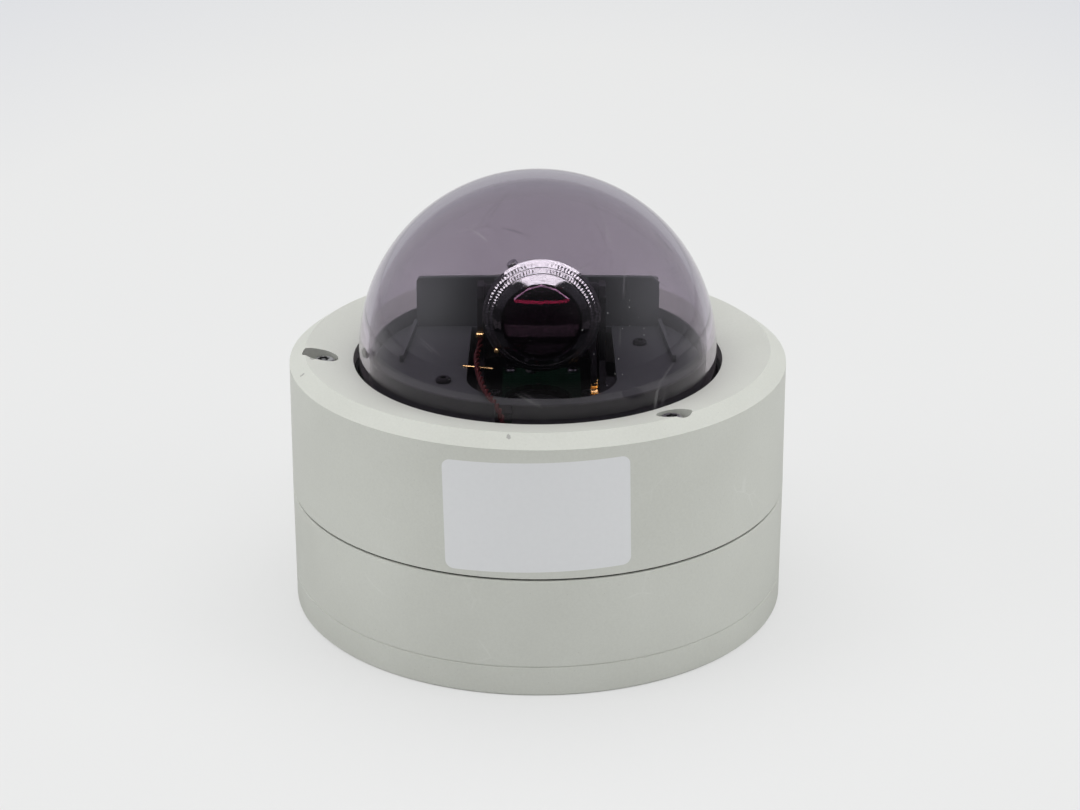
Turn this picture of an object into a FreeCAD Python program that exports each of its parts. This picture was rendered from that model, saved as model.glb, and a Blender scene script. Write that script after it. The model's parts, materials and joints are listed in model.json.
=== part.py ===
# Pan and tilt dome camera with a round surface-mount body.
# The part lies on its mounting face: origin at the centre of that face, +Z through the dome,
# the lens looks along -Y in the rest position. All lengths are millimetres, angles degrees.
import FreeCAD, Part
import math
import os
import re
import Sketcher

os.makedirs("parts", exist_ok=True)
doc = FreeCAD.newDocument("ptz_camera")
V = FreeCAD.Vector

SIZES = {
    # radial stack, from the dome outwards
    "dome_radius": 57.4,
    "dome_wall": 3.0,
    "dome_gap": 1.9,
    "flange_width": 5.6,
    "clamp_land": 6.0,
    "post_gap": 0.5,
    "post_radius": 5.2,
    "post_to_wall": 1.1,
    "wall": 5.0,
    "seam": 0.3,
    "cover_draft": 0.4,
    "ridge_inset": 5.4,
    "gasket_inset": 0.9,
    # heights from the mounting face up to the tilt axis
    "plate_height": 9.8,
    "plate_web": 4.0,
    "box_height": 28.9,
    "gasket_height": 0.6,
    "board_rise": 4.2,
    "conduit_rise": 11.2,
    "chassis_rise": 35.2,
    "chassis_height": 2.0,
    "turntable_rise": 8.0,
    "turntable_height": 2.5,
    # heights from the tilt axis down to the dome and the cover
    "lens_rise": 3.0,
    "dome_drop": 16.9,
    "liner_drop": 3.1,
    "ridge_rise": 1.4,
    "bevel_drop": 3.5,
    "lip_drop": 3.7,
    "lip_height": 4.5,
    "seal_height": 1.6,
    "flange_height": 2.7,
    "clamp_height": 2.5,
    "pocket_floor": 3.0,
    # openings to the outside
    "cable_hole_radius": 12.0,
    "mount_hole_radius": 2.75,
    "mount_circle_radius": 55.0,
    "conduit_radius": 10.0,
    # fits and screws
    "thread_gap": 0.05,
    "running_gap": 0.05,
    "liner_gap": 0.6,
    "mesh_gap": 0.1,
    "cover_screw_head": 3.8,
    # pan and tilt drives
    "spindle_radius": 7.0,
    "bearing_radius": 9.5,
    "hub_radius": 12.0,
    "gear_module": 0.8,
    "pan_gear_teeth": 72.0,
    "pan_pinion_teeth": 12.0,
    "tilt_gear_teeth": 66.0,
    "tilt_pinion_teeth": 12.0,
    "pan_motor_radius": 13.5,
    "tilt_motor_radius": 6.5,
    "tilt_motor_turn": 22.0,
    # inner liner that turns with the lens
    "liner_height": 2.0,
    "slot_half_width": 23.5,
    "slot_front": 36.0,
    "slot_back": 28.0,
    "slot_corner": 17.5,
    "rear_plate_rise": 17.4,
    # tilt head
    "lens_x": 1.2,
    "cheek_inside": 18.3,
    "cheek_height": 2.0,
    "pivot_radius": 2.5,
    "bush_radius": 3.5,
    "head_half_width": 15.0,
    # lens, sizes along the optical axis start at the tilt axis
    "core_radius": 12.5,
    "zoom_start": 13.0,
    "zoom_length": 7.5,
    "zoom_radius": 14.0,
    "focus_start": 20.8,
    "focus_length": 10.8,
    "focus_radius": 18.6,
    "focus_shoulder": 6.1,
    "bezel_radius": 13.3,
    "bezel_front": 32.0,
    "glass_radius": 12.0,
    "lock_screw_height": 3.4,
    # wire pair of the iris drive
    "wire_radius": 0.55,
    "wire_spacing": 1.2,
}
DERIVED = {
    # radii that follow from the stack above
    "opening_radius": "dome_radius + dome_gap",
    "flange_radius": "dome_radius + flange_width",
    "clamp_radius": "flange_radius + clamp_land",
    "clamp_screw_circle": "flange_radius + clamp_land / 2",
    "cover_screw_circle": "flange_radius + post_gap + post_radius",
    "body_radius": "cover_screw_circle + post_radius + post_to_wall + wall",
    "inside_radius": "body_radius - wall",
    "cover_edge_radius": "body_radius - cover_draft",
    "ridge_radius": "body_radius - ridge_inset",
    "box_screw_circle": "inside_radius - 2.6 * wall",
    "liner_radius": "dome_radius - dome_wall - liner_gap",
    "turntable_radius": "liner_radius - 3.8",
    "motor_screw_x": "pan_motor_radius + 4",
    "pillar_circle": "turntable_radius + 2",
    "board_screw_circle": "pillar_circle - 14",
    # distances between gear centres
    "pan_centre": "gear_module * (pan_gear_teeth + pan_pinion_teeth) / 2 + mesh_gap",
    "tilt_centre": "gear_module * (tilt_gear_teeth + tilt_pinion_teeth) / 2 + mesh_gap",
    "tilt_motor_down": "tilt_centre * cos(tilt_motor_turn)",
    "tilt_motor_ahead": "tilt_centre * sin(tilt_motor_turn)",
    # heights
    "box_floor_z": "plate_height + plate_web",
    "box_rim_z": "plate_height + box_height",
    "board_z": "box_floor_z + board_rise",
    "board_top": "board_z + 1.6",
    "conduit_z": "box_floor_z + conduit_rise",
    "chassis_z": "box_floor_z + chassis_rise",
    "chassis_top": "chassis_z + chassis_height",
    "turntable_z": "chassis_top + turntable_rise",
    "turntable_top": "turntable_z + turntable_height",
    "pan_board_z": "turntable_top + 3",
    "pan_board_top": "pan_board_z + 1.6",
    "tilt_z": "turntable_top + tilt_motor_radius + 0.7 + tilt_centre",
    "lens_z": "tilt_z + lens_rise",
    "dome_centre_z": "tilt_z - dome_drop",
    "liner_z": "dome_centre_z - liner_drop",
    "liner_under": "liner_z - liner_height",
    "ridge_z": "dome_centre_z + ridge_rise",
    "cover_edge_z": "ridge_z - bevel_drop",
    "opening_z": "ridge_z - lip_drop",
    "cover_seat_z": "opening_z - lip_height",
    "cover_pocket_z": "cover_seat_z + pocket_floor",
    "flange_z": "cover_seat_z - seal_height - flange_height",
    "post_top_z": "flange_z - 2",
    # liner, yoke and lens
    "rear_plate_y": "slot_back + 1",
    "rear_plate_half_width": "sqrt((liner_radius - 4 * liner_gap)^2 - (rear_plate_y + 2)^2)",
    "rear_plate_top_z": "liner_z + rear_plate_rise",
    "cheek_outside": "cheek_inside + cheek_height",
    "zoom_end": "zoom_start + zoom_length",
    "focus_end": "focus_start + focus_length",
}
COVER_SCREW_ANGLES = (-174.4, -54.0, 66.0)
CLAMP_SCREW_ANGLES = (-144.0, -114.0, -24.0, 6.0, 96.0, 126.0)
BOX_SCREW_ANGLES = (45.0, 135.0, 225.0, 315.0)
PILLAR_ANGLES = (30.0, 150.0, 270.0)
GEAR_SCREW_ANGLES = (0.0, 120.0, 240.0)
PRESSURE_ANGLE = 20.0
BACKLASH = 0.12
ZOOM_LOCK_ANGLE = 123.0
FOCUS_LOCK_ANGLE = -100.0

sheet = doc.addObject("Spreadsheet::Sheet", "Sizes")
for row, (alias, value) in enumerate(SIZES.items(), 1):
    sheet.set("A%d" % row, alias)
    sheet.set("B%d" % row, str(value))
    sheet.setAlias("B%d" % row, alias)
doc.recompute()
for row, (alias, formula) in enumerate(DERIVED.items(), len(SIZES) + 2):
    sheet.set("A%d" % row, alias)
    sheet.set("B%d" % row, "=" + formula)
    sheet.setAlias("B%d" % row, alias)
doc.recompute()


def number(expression):
    """Value of an expression in the sheet's names."""
    return float(sheet.evalExpression(str(expression)))


def link(expression):
    """The same expression as other objects have to write it."""
    def qualify(match):
        word = match.group(0)
        return "Sizes." + word if word in SIZES or word in DERIVED else word
    return re.sub(r"[A-Za-z_]+", qualify, str(expression))


def on_circle(radius, angle):
    """Expressions for a point on a circle round the local Z axis."""
    return ("%s * cos(%s)" % (radius, angle), "%s * sin(%s)" % (radius, angle))


# ---- building one rigid piece as a PartDesign body ----
PIECES = []


class Piece:
    """A body whose sketches, pads and pockets take their sizes from the sheet."""

    def __init__(self, label):
        self.body = doc.addObject("PartDesign::Body", label)
        self.label = label
        self.steps = 0
        PIECES.append((label, self.body))

    def sketch(self, plane, offset, loops):
        self.steps += 1
        sketch = self.body.newObject("Sketcher::SketchObject", "%s_sketch_%d" % (self.label, self.steps))
        origin = [o for o in self.body.Origin.OriginFeatures if o.Role == plane + "_Plane"][0]
        sketch.AttachmentSupport = [(origin, "")]
        sketch.MapMode = "FlatFace"
        sketch.setExpression("AttachmentOffset.Base.z", link(offset))
        for loop in loops:
            if loop[0] == "circle":
                self.add_circle(sketch, loop)
            else:
                self.add_polygon(sketch, loop[1:])
        return sketch

    def fix(self, sketch, kind, geometry, point, expression):
        args = (kind, -1, 1, geometry, point) if kind.startswith("Distance") else (kind, geometry)
        index = sketch.addConstraint(Sketcher.Constraint(*args, number(expression)))
        sketch.setExpression("Constraints[%d]" % index, link(expression))

    def add_circle(self, sketch, loop):
        x, y, radius = loop[1:]
        circle = Part.Circle(V(number(x), number(y), 0), V(0, 0, 1), number(radius))
        index = sketch.addGeometry(circle, False)
        self.fix(sketch, "DistanceX", index, 3, x)
        self.fix(sketch, "DistanceY", index, 3, y)
        self.fix(sketch, "Radius", index, 0, radius)

    def add_polygon(self, sketch, points):
        spots = [V(number(x), number(y), 0) for x, y in points]
        first = None
        for i, spot in enumerate(spots):
            index = sketch.addGeometry(Part.LineSegment(spot, spots[(i + 1) % len(spots)]), False)
            first = index if first is None else first
        for i in range(len(spots)):
            after = first + (i + 1) % len(spots)
            sketch.addConstraint(Sketcher.Constraint("Coincident", first + i, 2, after, 1))
        for i, (x, y) in enumerate(points):
            self.fix(sketch, "DistanceX", first + i, 1, x)
            self.fix(sketch, "DistanceY", first + i, 1, y)

    def turn(self, *points):
        """Solid of revolution about the local Z axis from (radius, height) points."""
        sketch = self.sketch("XZ", 0, [("polygon",) + points])
        feature = self.body.newObject("PartDesign::Revolution", "%s_turn_%d" % (self.label, self.steps))
        feature.Profile = sketch
        feature.ReferenceAxis = (sketch, ["V_Axis"])
        feature.Angle = 360
        return self.done(feature, grows=True)

    def pad(self, plane, offset, length, *loops, back=False):
        sketch = self.sketch(plane, offset, loops)
        feature = self.body.newObject("PartDesign::Pad", "%s_pad_%d" % (self.label, self.steps))
        feature.Profile = sketch
        feature.setExpression("Length", link(length))
        feature.Reversed = back
        return self.done(feature, grows=True)

    def cut(self, plane, offset, length, *loops, ahead=False):
        """Pocket from the offset against the plane's normal, or along it when ahead."""
        sketch = self.sketch(plane, offset, loops)
        feature = self.body.newObject("PartDesign::Pocket", "%s_cut_%d" % (self.label, self.steps))
        feature.Profile = sketch
        feature.setExpression("Length", link(length))
        feature.Reversed = ahead
        return self.done(feature, grows=False)

    def round_edges(self, radius, chosen, chamfer=False):
        """Fillet or chamfer on the edges that the test picks out by their middle point."""
        self.steps += 1
        names = []
        for i, edge in enumerate(self.body.Tip.Shape.Edges, 1):
            middle = edge.valueAt((edge.FirstParameter + edge.LastParameter) / 2)
            if chosen(middle, edge):
                names.append("Edge%d" % i)
        if not names:
            raise RuntimeError("no edge found on " + self.label)
        kind = "Chamfer" if chamfer else "Fillet"
        previous = self.body.Tip
        feature = self.body.newObject("PartDesign::" + kind, "%s_edge_%d" % (self.label, self.steps))
        feature.Base = (previous, names)
        feature.setExpression("Size" if chamfer else "Radius", link(radius))
        return self.done(feature, grows=None)

    def done(self, feature, grows):
        before = getattr(self, "volume", 0.0)
        doc.recompute()
        if not feature.isValid() or feature.Shape.isNull():
            raise RuntimeError("feature failed: " + feature.Name)
        self.volume = feature.Shape.Volume
        if grows is not None and (self.volume > before) != grows:
            raise RuntimeError("feature changed nothing: " + feature.Name)
        return feature

    def place(self, x, y, z, axis=None, angle=0.0):
        """Puts the finished body in place; x, y, z are expressions."""
        rotation = FreeCAD.Rotation(axis, angle) if axis else FreeCAD.Rotation()
        self.body.Placement = FreeCAD.Placement(V(number(x), number(y), number(z)), rotation)
        for letter, expression in zip("xyz", (x, y, z)):
            self.body.setExpression("Placement.Base." + letter, link(expression))
        doc.recompute()

    def along_lens(self):
        """Local Z becomes the optical axis, measured forward from the tilt axis."""
        self.place("lens_x", 0, "lens_z", V(1, 0, 0), 90)

    def along_tilt_axis(self):
        """Local Z becomes the tilt axis (+X), local X points down."""
        self.place("lens_x", 0, "tilt_z", V(0, 1, 0), 90)

    def along_tilt_motor(self):
        """Local Z becomes the axis of the tilt motor (+X), local X points down."""
        self.place("lens_x", "-tilt_motor_ahead", "tilt_z - tilt_motor_down", V(0, 1, 0), 90)


def box_loop(x0, x1, y0, y1):
    return ("polygon", (x0, y0), (x1, y0), (x1, y1), (x0, y1))


def ring_of_circles(circle, angles, radius):
    return [("circle",) + on_circle(circle, angle) + (radius,) for angle in angles]


def keep(label, shape, placement=None):
    """A piece made from a computed shape."""
    feature = doc.addObject("Part::Feature", label)
    feature.Shape = shape
    if placement:
        feature.Placement = placement
    PIECES.append((label, feature))
    return feature


def screw(head_radius, head_height, shank_radius, shank_length, key_radius):
    """Pan-head screw with a hexagon socket; the head stands on z = 0."""
    head = Part.makeCylinder(head_radius, head_height)
    rim = [e for e in head.Edges if abs(e.BoundBox.ZMin - head_height) < 1e-6 and e.BoundBox.XLength > 1]
    head = head.makeChamfer(head_height * 0.4, rim)
    corners = [V(key_radius * math.cos(math.radians(60 * i)), key_radius * math.sin(math.radians(60 * i)),
                 head_height * 0.35) for i in range(7)]
    key = Part.Face(Part.makePolygon(corners)).extrude(V(0, 0, head_height))
    shank = Part.makeCylinder(shank_radius, shank_length, V(0, 0, -shank_length))
    return head.cut(key).fuse(shank).removeSplitter()


def at(x, y, z, axis=V(0, 0, 1), angle=0.0):
    return FreeCAD.Placement(V(x, y, z), FreeCAD.Rotation(axis, angle))


def copies(label, shape, placements):
    """Identical pieces kept together as separate solids in one node."""
    solids = []
    for placement in placements:
        solid = shape.copy()
        solid.Placement = placement
        solids.append(solid)
    return keep(label, Part.makeCompound(solids))


def around(circle, angles, z):
    radius = number(circle)
    return [at(radius * math.cos(math.radians(a)), radius * math.sin(math.radians(a)), number(z))
            for a in angles]


def involute(angle):
    return math.tan(angle) - angle


def gear_outline(teeth, module, steps):
    """Half-tooth angles at rising radii: root, flank points and tip of one involute tooth."""
    pitch = module * teeth / 2
    base = pitch * math.cos(math.radians(PRESSURE_ANGLE))
    root = pitch - 1.25 * module
    tip = pitch + module
    half = (math.pi / 2 - BACKLASH / module) / teeth + involute(math.radians(PRESSURE_ANGLE))
    profile = []
    start = max(root, base)
    if root < base:
        profile.append((root, half))
    for i in range(steps + 1):
        radius = start + (tip - start) * i / steps
        profile.append((radius, half - involute(math.acos(min(1.0, base / radius)))))
    return profile


def gear_points(teeth, module, steps, tooth_numbers, phase):
    points = []
    profile = gear_outline(teeth, module, steps)
    for tooth in tooth_numbers:
        middle = math.radians(phase) + 2 * math.pi * tooth / teeth
        for radius, half in profile:
            points.append(V(radius * math.cos(middle - half), radius * math.sin(middle - half), 0))
        for radius, half in reversed(profile):
            points.append(V(radius * math.cos(middle + half), radius * math.sin(middle + half), 0))
    return points


def full_gear(teeth, module, width, bore, steps, phase):
    """Spur wheel from z = 0 to its width with a round bore."""
    points = gear_points(teeth, module, steps, range(int(teeth)), phase)
    wheel = Part.Face(Part.makePolygon(points + points[:1])).extrude(V(0, 0, width))
    return wheel.cut(Part.makeCylinder(bore, width + 2, V(0, 0, -1)))


def rounded_route(points):
    """Straight runs joined by tangent arcs; gives the wire and the arc radii."""
    corners = []
    radii = []
    for before, corner, after in zip(points, points[1:], points[2:]):
        back = before.sub(corner)
        ahead = after.sub(corner)
        turn = math.pi - back.getAngle(ahead)
        radius = 0.45 * min(back.Length, ahead.Length) / math.tan(turn / 2)
        reach = radius * math.tan(turn / 2)
        back.normalize()
        ahead.normalize()
        bisector = back.add(ahead).normalize()
        middle = corner.add(bisector * (radius / math.cos(turn / 2) - radius))
        corners.append((corner.add(back * reach), middle, corner.add(ahead * reach)))
        radii.append(radius)
    edges = []
    here = points[0]
    for start, middle, end in corners:
        edges.append(Part.LineSegment(here, start).toShape())
        edges.append(Part.Arc(start, middle, end).toShape())
        here = end
    edges.append(Part.LineSegment(here, points[-1]).toShape())
    return Part.Wire(edges), radii


# ==== outer body: everything that stays fixed ====
plate = Piece("mounting_plate")
plate.turn(("cable_hole_radius", 0), ("body_radius - 2 * seam", 0), ("body_radius", "2 * seam"),
           ("body_radius", "plate_height - seam"), ("body_radius - seam", "plate_height"),
           ("inside_radius", "plate_height"), ("inside_radius", "plate_web"),
           ("cable_hole_radius", "plate_web"))
plate.pad("XY", "plate_web", "plate_height - plate_web",
          *ring_of_circles("box_screw_circle", BOX_SCREW_ANGLES, 4.5))
plate.cut("XY", "plate_height", "plate_height - 2",
          *ring_of_circles("box_screw_circle", BOX_SCREW_ANGLES, "1.5 + thread_gap"))
plate.cut("XY", "plate_web", "plate_web",
          *ring_of_circles("mount_circle_radius", (0.0, 90.0, 180.0, 270.0), "mount_hole_radius"))

back_box = Piece("back_box")
back_box.turn(("cable_hole_radius", "plate_height"), ("body_radius - seam", "plate_height"),
              ("body_radius", "plate_height + seam"), ("body_radius", "box_rim_z - seam"),
              ("body_radius - seam", "box_rim_z"), ("inside_radius", "box_rim_z"),
              ("inside_radius", "box_floor_z"), ("cable_hole_radius", "box_floor_z"))
back_box.pad("XY", "box_floor_z", "box_rim_z - box_floor_z - 1",
             *ring_of_circles("cover_screw_circle", COVER_SCREW_ANGLES, "post_radius + 2.3"))
back_box.pad("XY", "box_rim_z - 3", "post_top_z - box_rim_z + 3",
             *ring_of_circles("cover_screw_circle", COVER_SCREW_ANGLES, "post_radius"))
back_box.pad("XY", "box_floor_z", "chassis_z - box_floor_z",
             *ring_of_circles("pillar_circle", PILLAR_ANGLES, 4.5))
back_box.pad("XY", "box_floor_z", "board_z - box_floor_z",
             *ring_of_circles("board_screw_circle", BOX_SCREW_ANGLES, 3))
back_box.pad("XZ", "-(inside_radius - 7)", 9, ("circle", 0, "conduit_z", "conduit_radius + 3.5"),
             back=True)
back_box.cut("XZ", "-(inside_radius - 8)", 16,
             ("circle", 0, "conduit_z", "conduit_radius + thread_gap"))
back_box.cut("XY", "post_top_z", 15,
             *ring_of_circles("cover_screw_circle", COVER_SCREW_ANGLES, "2 + thread_gap"))
back_box.cut("XY", "chassis_z", 9, *ring_of_circles("pillar_circle", PILLAR_ANGLES, "1.5 + thread_gap"))
back_box.cut("XY", "board_z", 4,
             *ring_of_circles("board_screw_circle", BOX_SCREW_ANGLES, "1.25 + thread_gap"))
back_box.cut("XY", "box_floor_z", "plate_web",
             *ring_of_circles("box_screw_circle", BOX_SCREW_ANGLES, 1.7))

gland = Piece("cable_gland")
gland.turn((6, "plate_height - 1.6"), ("cable_hole_radius + 2", "plate_height - 1.6"),
           ("cable_hole_radius + 2", "plate_height"), ("cable_hole_radius", "plate_height"),
           ("cable_hole_radius", "box_floor_z"), ("cable_hole_radius + 2", "box_floor_z"),
           ("cable_hole_radius + 2", "box_floor_z + 1.5"), (6, "box_floor_z + 1.5"))

plug = Piece("conduit_plug")
plug.turn((0, "inside_radius - 6"), ("conduit_radius", "inside_radius - 6"),
          ("conduit_radius", "body_radius - 1.4"), ("conduit_radius - 0.6", "body_radius - 0.8"),
          (0, "body_radius - 0.8"))
plug.cut("XY", "body_radius - 0.8", 4,
         ("polygon",) + tuple(on_circle(5.8, 60 * i) for i in range(6)))
plug.place(0, 0, "conduit_z", V(1, 0, 0), -90)

copies("box_screws", screw(2.7, 2.0, 1.5, 8.5, 1.3),
       around("box_screw_circle", BOX_SCREW_ANGLES, "box_floor_z"))

board = Piece("main_board")
board.pad("XY", "board_z", "board_top - board_z", ("circle", 0, 0, "board_screw_circle + 8"),
          ("circle", 0, 0, "cable_hole_radius + 2.5"),
          *ring_of_circles("board_screw_circle", BOX_SCREW_ANGLES, 1.5))
copies("board_screws", screw(2.4, 1.4, 1.25, 4.6, 1.1),
       around("board_screw_circle", BOX_SCREW_ANGLES, "board_top"))

terminals = Piece("terminal_block")
terminals.pad("XY", "board_top", 9, box_loop(-16, 16, -34, -25))
terminals.cut("XZ", 34, 7, *[box_loop(-14.5 + 6 * i, -9.5 + 6 * i, "board_top + 1.4", "board_top + 5.9")
                             for i in range(5)])
terminals.cut("XY", "board_top + 9", 2, *[("circle", -12 + 6 * i, -30, 1.8) for i in range(5)])

gasket = Piece("cover_gasket")
gasket.turn(("inside_radius", "box_rim_z"), ("body_radius - gasket_inset", "box_rim_z"),
            ("body_radius - gasket_inset", "box_rim_z + gasket_height"),
            ("inside_radius", "box_rim_z + gasket_height"))

cover = Piece("top_cover")
cover.turn(("inside_radius", "box_rim_z + gasket_height"),
           ("body_radius - seam", "box_rim_z + gasket_height"),
           ("body_radius", "box_rim_z + gasket_height + seam"),
           ("cover_edge_radius", "cover_edge_z"),
           ("ridge_radius", "ridge_z"), ("opening_radius", "opening_z"),
           ("opening_radius", "cover_seat_z"), ("inside_radius", "cover_seat_z"))
cover.pad("XY", "post_top_z", "cover_seat_z - post_top_z",
          *ring_of_circles("cover_screw_circle", COVER_SCREW_ANGLES, "post_radius"))
for angle in COVER_SCREW_ANGLES:
    for outward_shift in (1.9, 0.2):
        middle = on_circle("(cover_screw_circle + %s)" % outward_shift, angle)
        cover.cut("XY", "ridge_z + 1", "ridge_z + 1 - cover_pocket_z", ("circle",) + middle + (4.9,))
cover.cut("XY", "cover_pocket_z", "cover_pocket_z - post_top_z",
          *ring_of_circles("cover_screw_circle", COVER_SCREW_ANGLES, 2.2))
cover.cut("XY", "cover_seat_z", 4,
          *ring_of_circles("clamp_screw_circle", CLAMP_SCREW_ANGLES, "1.5 + thread_gap"), ahead=True)

copies("cover_screws", screw(number("cover_screw_head"), 2.2, 2.0, 23.0, 1.7),
       around("cover_screw_circle", COVER_SCREW_ANGLES, "cover_pocket_z + 0.5"))
washer = Part.makeCylinder(4.2, 0.5).cut(Part.makeCylinder(2.1, 2, V(0, 0, -1)))
copies("cover_screw_washers", washer, around("cover_screw_circle", COVER_SCREW_ANGLES, "cover_pocket_z"))

# ---- dome: a thin hemisphere on a short skirt with a clamping flange ----
ball = doc.addObject("Part::Sphere", "dome_outer")
ball.setExpression("Radius", link("dome_radius"))
ball.Angle1 = 0
hollow = doc.addObject("Part::Sphere", "dome_inner")
hollow.setExpression("Radius", link("dome_radius - dome_wall"))
hollow.Angle1 = 0
skirt = doc.addObject("Part::Cylinder", "dome_skirt")
skirt.setExpression("Radius", link("dome_radius"))
flange = doc.addObject("Part::Cylinder", "dome_flange")
flange.setExpression("Radius", link("flange_radius"))
flange.setExpression("Height", link("flange_height"))
bore = doc.addObject("Part::Cylinder", "dome_bore")
bore.setExpression("Radius", link("dome_radius - dome_wall"))
for item in (ball, hollow):
    item.setExpression("Placement.Base.z", link("dome_centre_z"))
for item in (skirt, flange, bore):
    item.setExpression("Placement.Base.z", link("flange_z"))
for item in (skirt, bore):
    item.setExpression("Height", link("dome_centre_z - flange_z"))
outside = doc.addObject("Part::MultiFuse", "dome_outside")
outside.Shapes = [ball, skirt, flange]
inside = doc.addObject("Part::MultiFuse", "dome_inside")
inside.Shapes = [hollow, bore]
dome = doc.addObject("Part::Cut", "dome_bubble")
dome.Base = outside
dome.Tool = inside
dome.Refine = True
PIECES.append(("dome_bubble", dome))

seal = Piece("dome_gasket")
seal.turn(("dome_radius + 0.6", "flange_z + flange_height"), ("flange_radius", "flange_z + flange_height"),
          ("flange_radius", "cover_seat_z"), ("dome_radius + 0.6", "cover_seat_z"))

clamp = Piece("dome_clamp_ring")
clamp.turn(("dome_radius + 0.6", "flange_z - clamp_height"), ("clamp_radius", "flange_z - clamp_height"),
           ("clamp_radius", "cover_seat_z"), ("flange_radius + 0.3", "cover_seat_z"),
           ("flange_radius + 0.3", "flange_z"), ("dome_radius + 0.6", "flange_z"))
clamp.cut("XY", "cover_seat_z", "cover_seat_z - flange_z + clamp_height",
          *ring_of_circles("cover_screw_circle", COVER_SCREW_ANGLES, "post_radius + 0.6"))
clamp.cut("XY", "cover_seat_z", "cover_seat_z - flange_z + clamp_height",
          *ring_of_circles("clamp_screw_circle", CLAMP_SCREW_ANGLES, 1.7))
below_clamp = [at(p.Base.x, p.Base.y, p.Base.z, V(1, 0, 0), 180)
               for p in around("clamp_screw_circle", CLAMP_SCREW_ANGLES, "flange_z - clamp_height")]
copies("clamp_screws", screw(2.7, 1.8, 1.5, 10.0, 1.3), below_clamp)

# ==== fixed chassis, spindle and pan motor ====
chassis = Piece("chassis_plate")
chassis.pad("XY", "chassis_z", "chassis_height", ("circle", 0, 0, "pillar_circle + 8"),
            ("circle", 0, 0, "spindle_radius + thread_gap"), ("circle", 0, "pan_centre", 4.6),
            ("circle", "-motor_screw_x", "pan_centre", 1.6), ("circle", "motor_screw_x", "pan_centre", 1.6),
            *ring_of_circles("pillar_circle", PILLAR_ANGLES, 1.7))
copies("chassis_screws", screw(2.7, 2.0, 1.5, 10.5, 1.3),
       around("pillar_circle", PILLAR_ANGLES, "chassis_top"))

spindle = Piece("pan_spindle")
spindle.turn((4.5, "chassis_z - 5"), ("spindle_radius", "chassis_z - 5"), ("spindle_radius", "chassis_top"),
             ("hub_radius - 0.5", "chassis_top"), ("hub_radius - 0.5", "chassis_top + 1"),
             ("spindle_radius", "chassis_top + 1"), ("spindle_radius", "turntable_z + 5"),
             (4.5, "turntable_z + 5"))
nut = Piece("spindle_nut")
nut.pad("XY", "chassis_z", 4, ("polygon",) + tuple(on_circle(11, 60 * i) for i in range(6)),
        ("circle", 0, 0, "spindle_radius + thread_gap"), back=True)
clip = Piece("spindle_clip")
clip.turn(("spindle_radius", "turntable_top + 0.2"), ("bearing_radius + 1", "turntable_top + 0.2"),
          ("bearing_radius + 1", "turntable_top + 1.1"), ("spindle_radius", "turntable_top + 1.1"))

motor = Piece("pan_motor")
motor.pad("XY", "chassis_z", 20, ("circle", 0, "pan_centre", "pan_motor_radius"), back=True)
motor.pad("XY", "chassis_z", 0.8,
          box_loop("-motor_screw_x - 3.5", "motor_screw_x + 3.5", "pan_centre - 3.5", "pan_centre + 3.5"),
          back=True)
motor.pad("XY", "chassis_z", "chassis_height", ("circle", 0, "pan_centre", 4.5))
motor.cut("XY", "chassis_top", 6, ("circle", 0, "pan_centre", "1.5 + running_gap"))
motor.cut("XY", "chassis_z", 0.8, ("circle", "-motor_screw_x", "pan_centre", 1.5),
          ("circle", "motor_screw_x", "pan_centre", 1.5))
motor_y = number("pan_centre")
copies("pan_motor_screws", screw(2.5, 1.6, 1.45, 4.5, 1.2),
       [at(number(x), motor_y, number("chassis_top")) for x in ("-motor_screw_x", "motor_screw_x")])
shaft = Piece("pan_motor_shaft")
shaft.pad("XY", "chassis_z - 3", "turntable_z - chassis_z + 2.8", ("circle", 0, "pan_centre", 1.5))
pinion_teeth = number("pan_pinion_teeth")
keep("pan_pinion", full_gear(pinion_teeth, number("gear_module"), 3.6, 1.5, 2, 90 + 180 / pinion_teeth),
     at(0, motor_y, number("turntable_z") - 3.9))

# ==== turntable: everything that pans ====
LINER_SCREWS = (("-slot_half_width - 5.9", -21.6), (0.0, "turntable_radius - 9"),
                ("(lens_x + slot_half_width + rear_plate_half_width + 1.3) / 2", 12.0))
YOKE_SCREWS = ((-15.4, -9.0), (15.4, -9.0), (-15.4, 9.0), (15.4, 9.0))
BOARD_POSTS = ((-10.5, -27.0), (10.5, -27.0), (-10.5, 23.0), (10.5, 23.0))


def beside_lens(x):
    return "lens_x + %s" % x


turntable = Piece("turntable")
turntable.turn(("bearing_radius", "chassis_z + 4.5"), ("hub_radius", "chassis_z + 4.5"),
               ("hub_radius", "turntable_z"), ("turntable_radius", "turntable_z"),
               ("turntable_radius", "turntable_top"), ("bearing_radius", "turntable_top"))
turntable.pad("XY", "turntable_top", "liner_under - turntable_top",
              *[("circle", x, y, 3.2) for x, y in LINER_SCREWS])
turntable.pad("XY", "turntable_top", 3, *[("circle", beside_lens(x), y, 2.2) for x, y in BOARD_POSTS])
turntable.cut("XY", "liner_under", 8,
              *[("circle", x, y, "1.25 + thread_gap") for x, y in LINER_SCREWS])
turntable.cut("XY", "pan_board_z", 4,
              *[("circle", beside_lens(x), y, "1 + thread_gap") for x, y in BOARD_POSTS])
turntable.cut("XY", "turntable_top", "turntable_height",
              *[("circle", beside_lens(x), y, "1.25 + thread_gap") for x, y in YOKE_SCREWS])
turntable.cut("XY", "turntable_z", 1.5, *ring_of_circles(20, GEAR_SCREW_ANGLES, "1.25 + thread_gap"),
              ahead=True)

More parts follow.
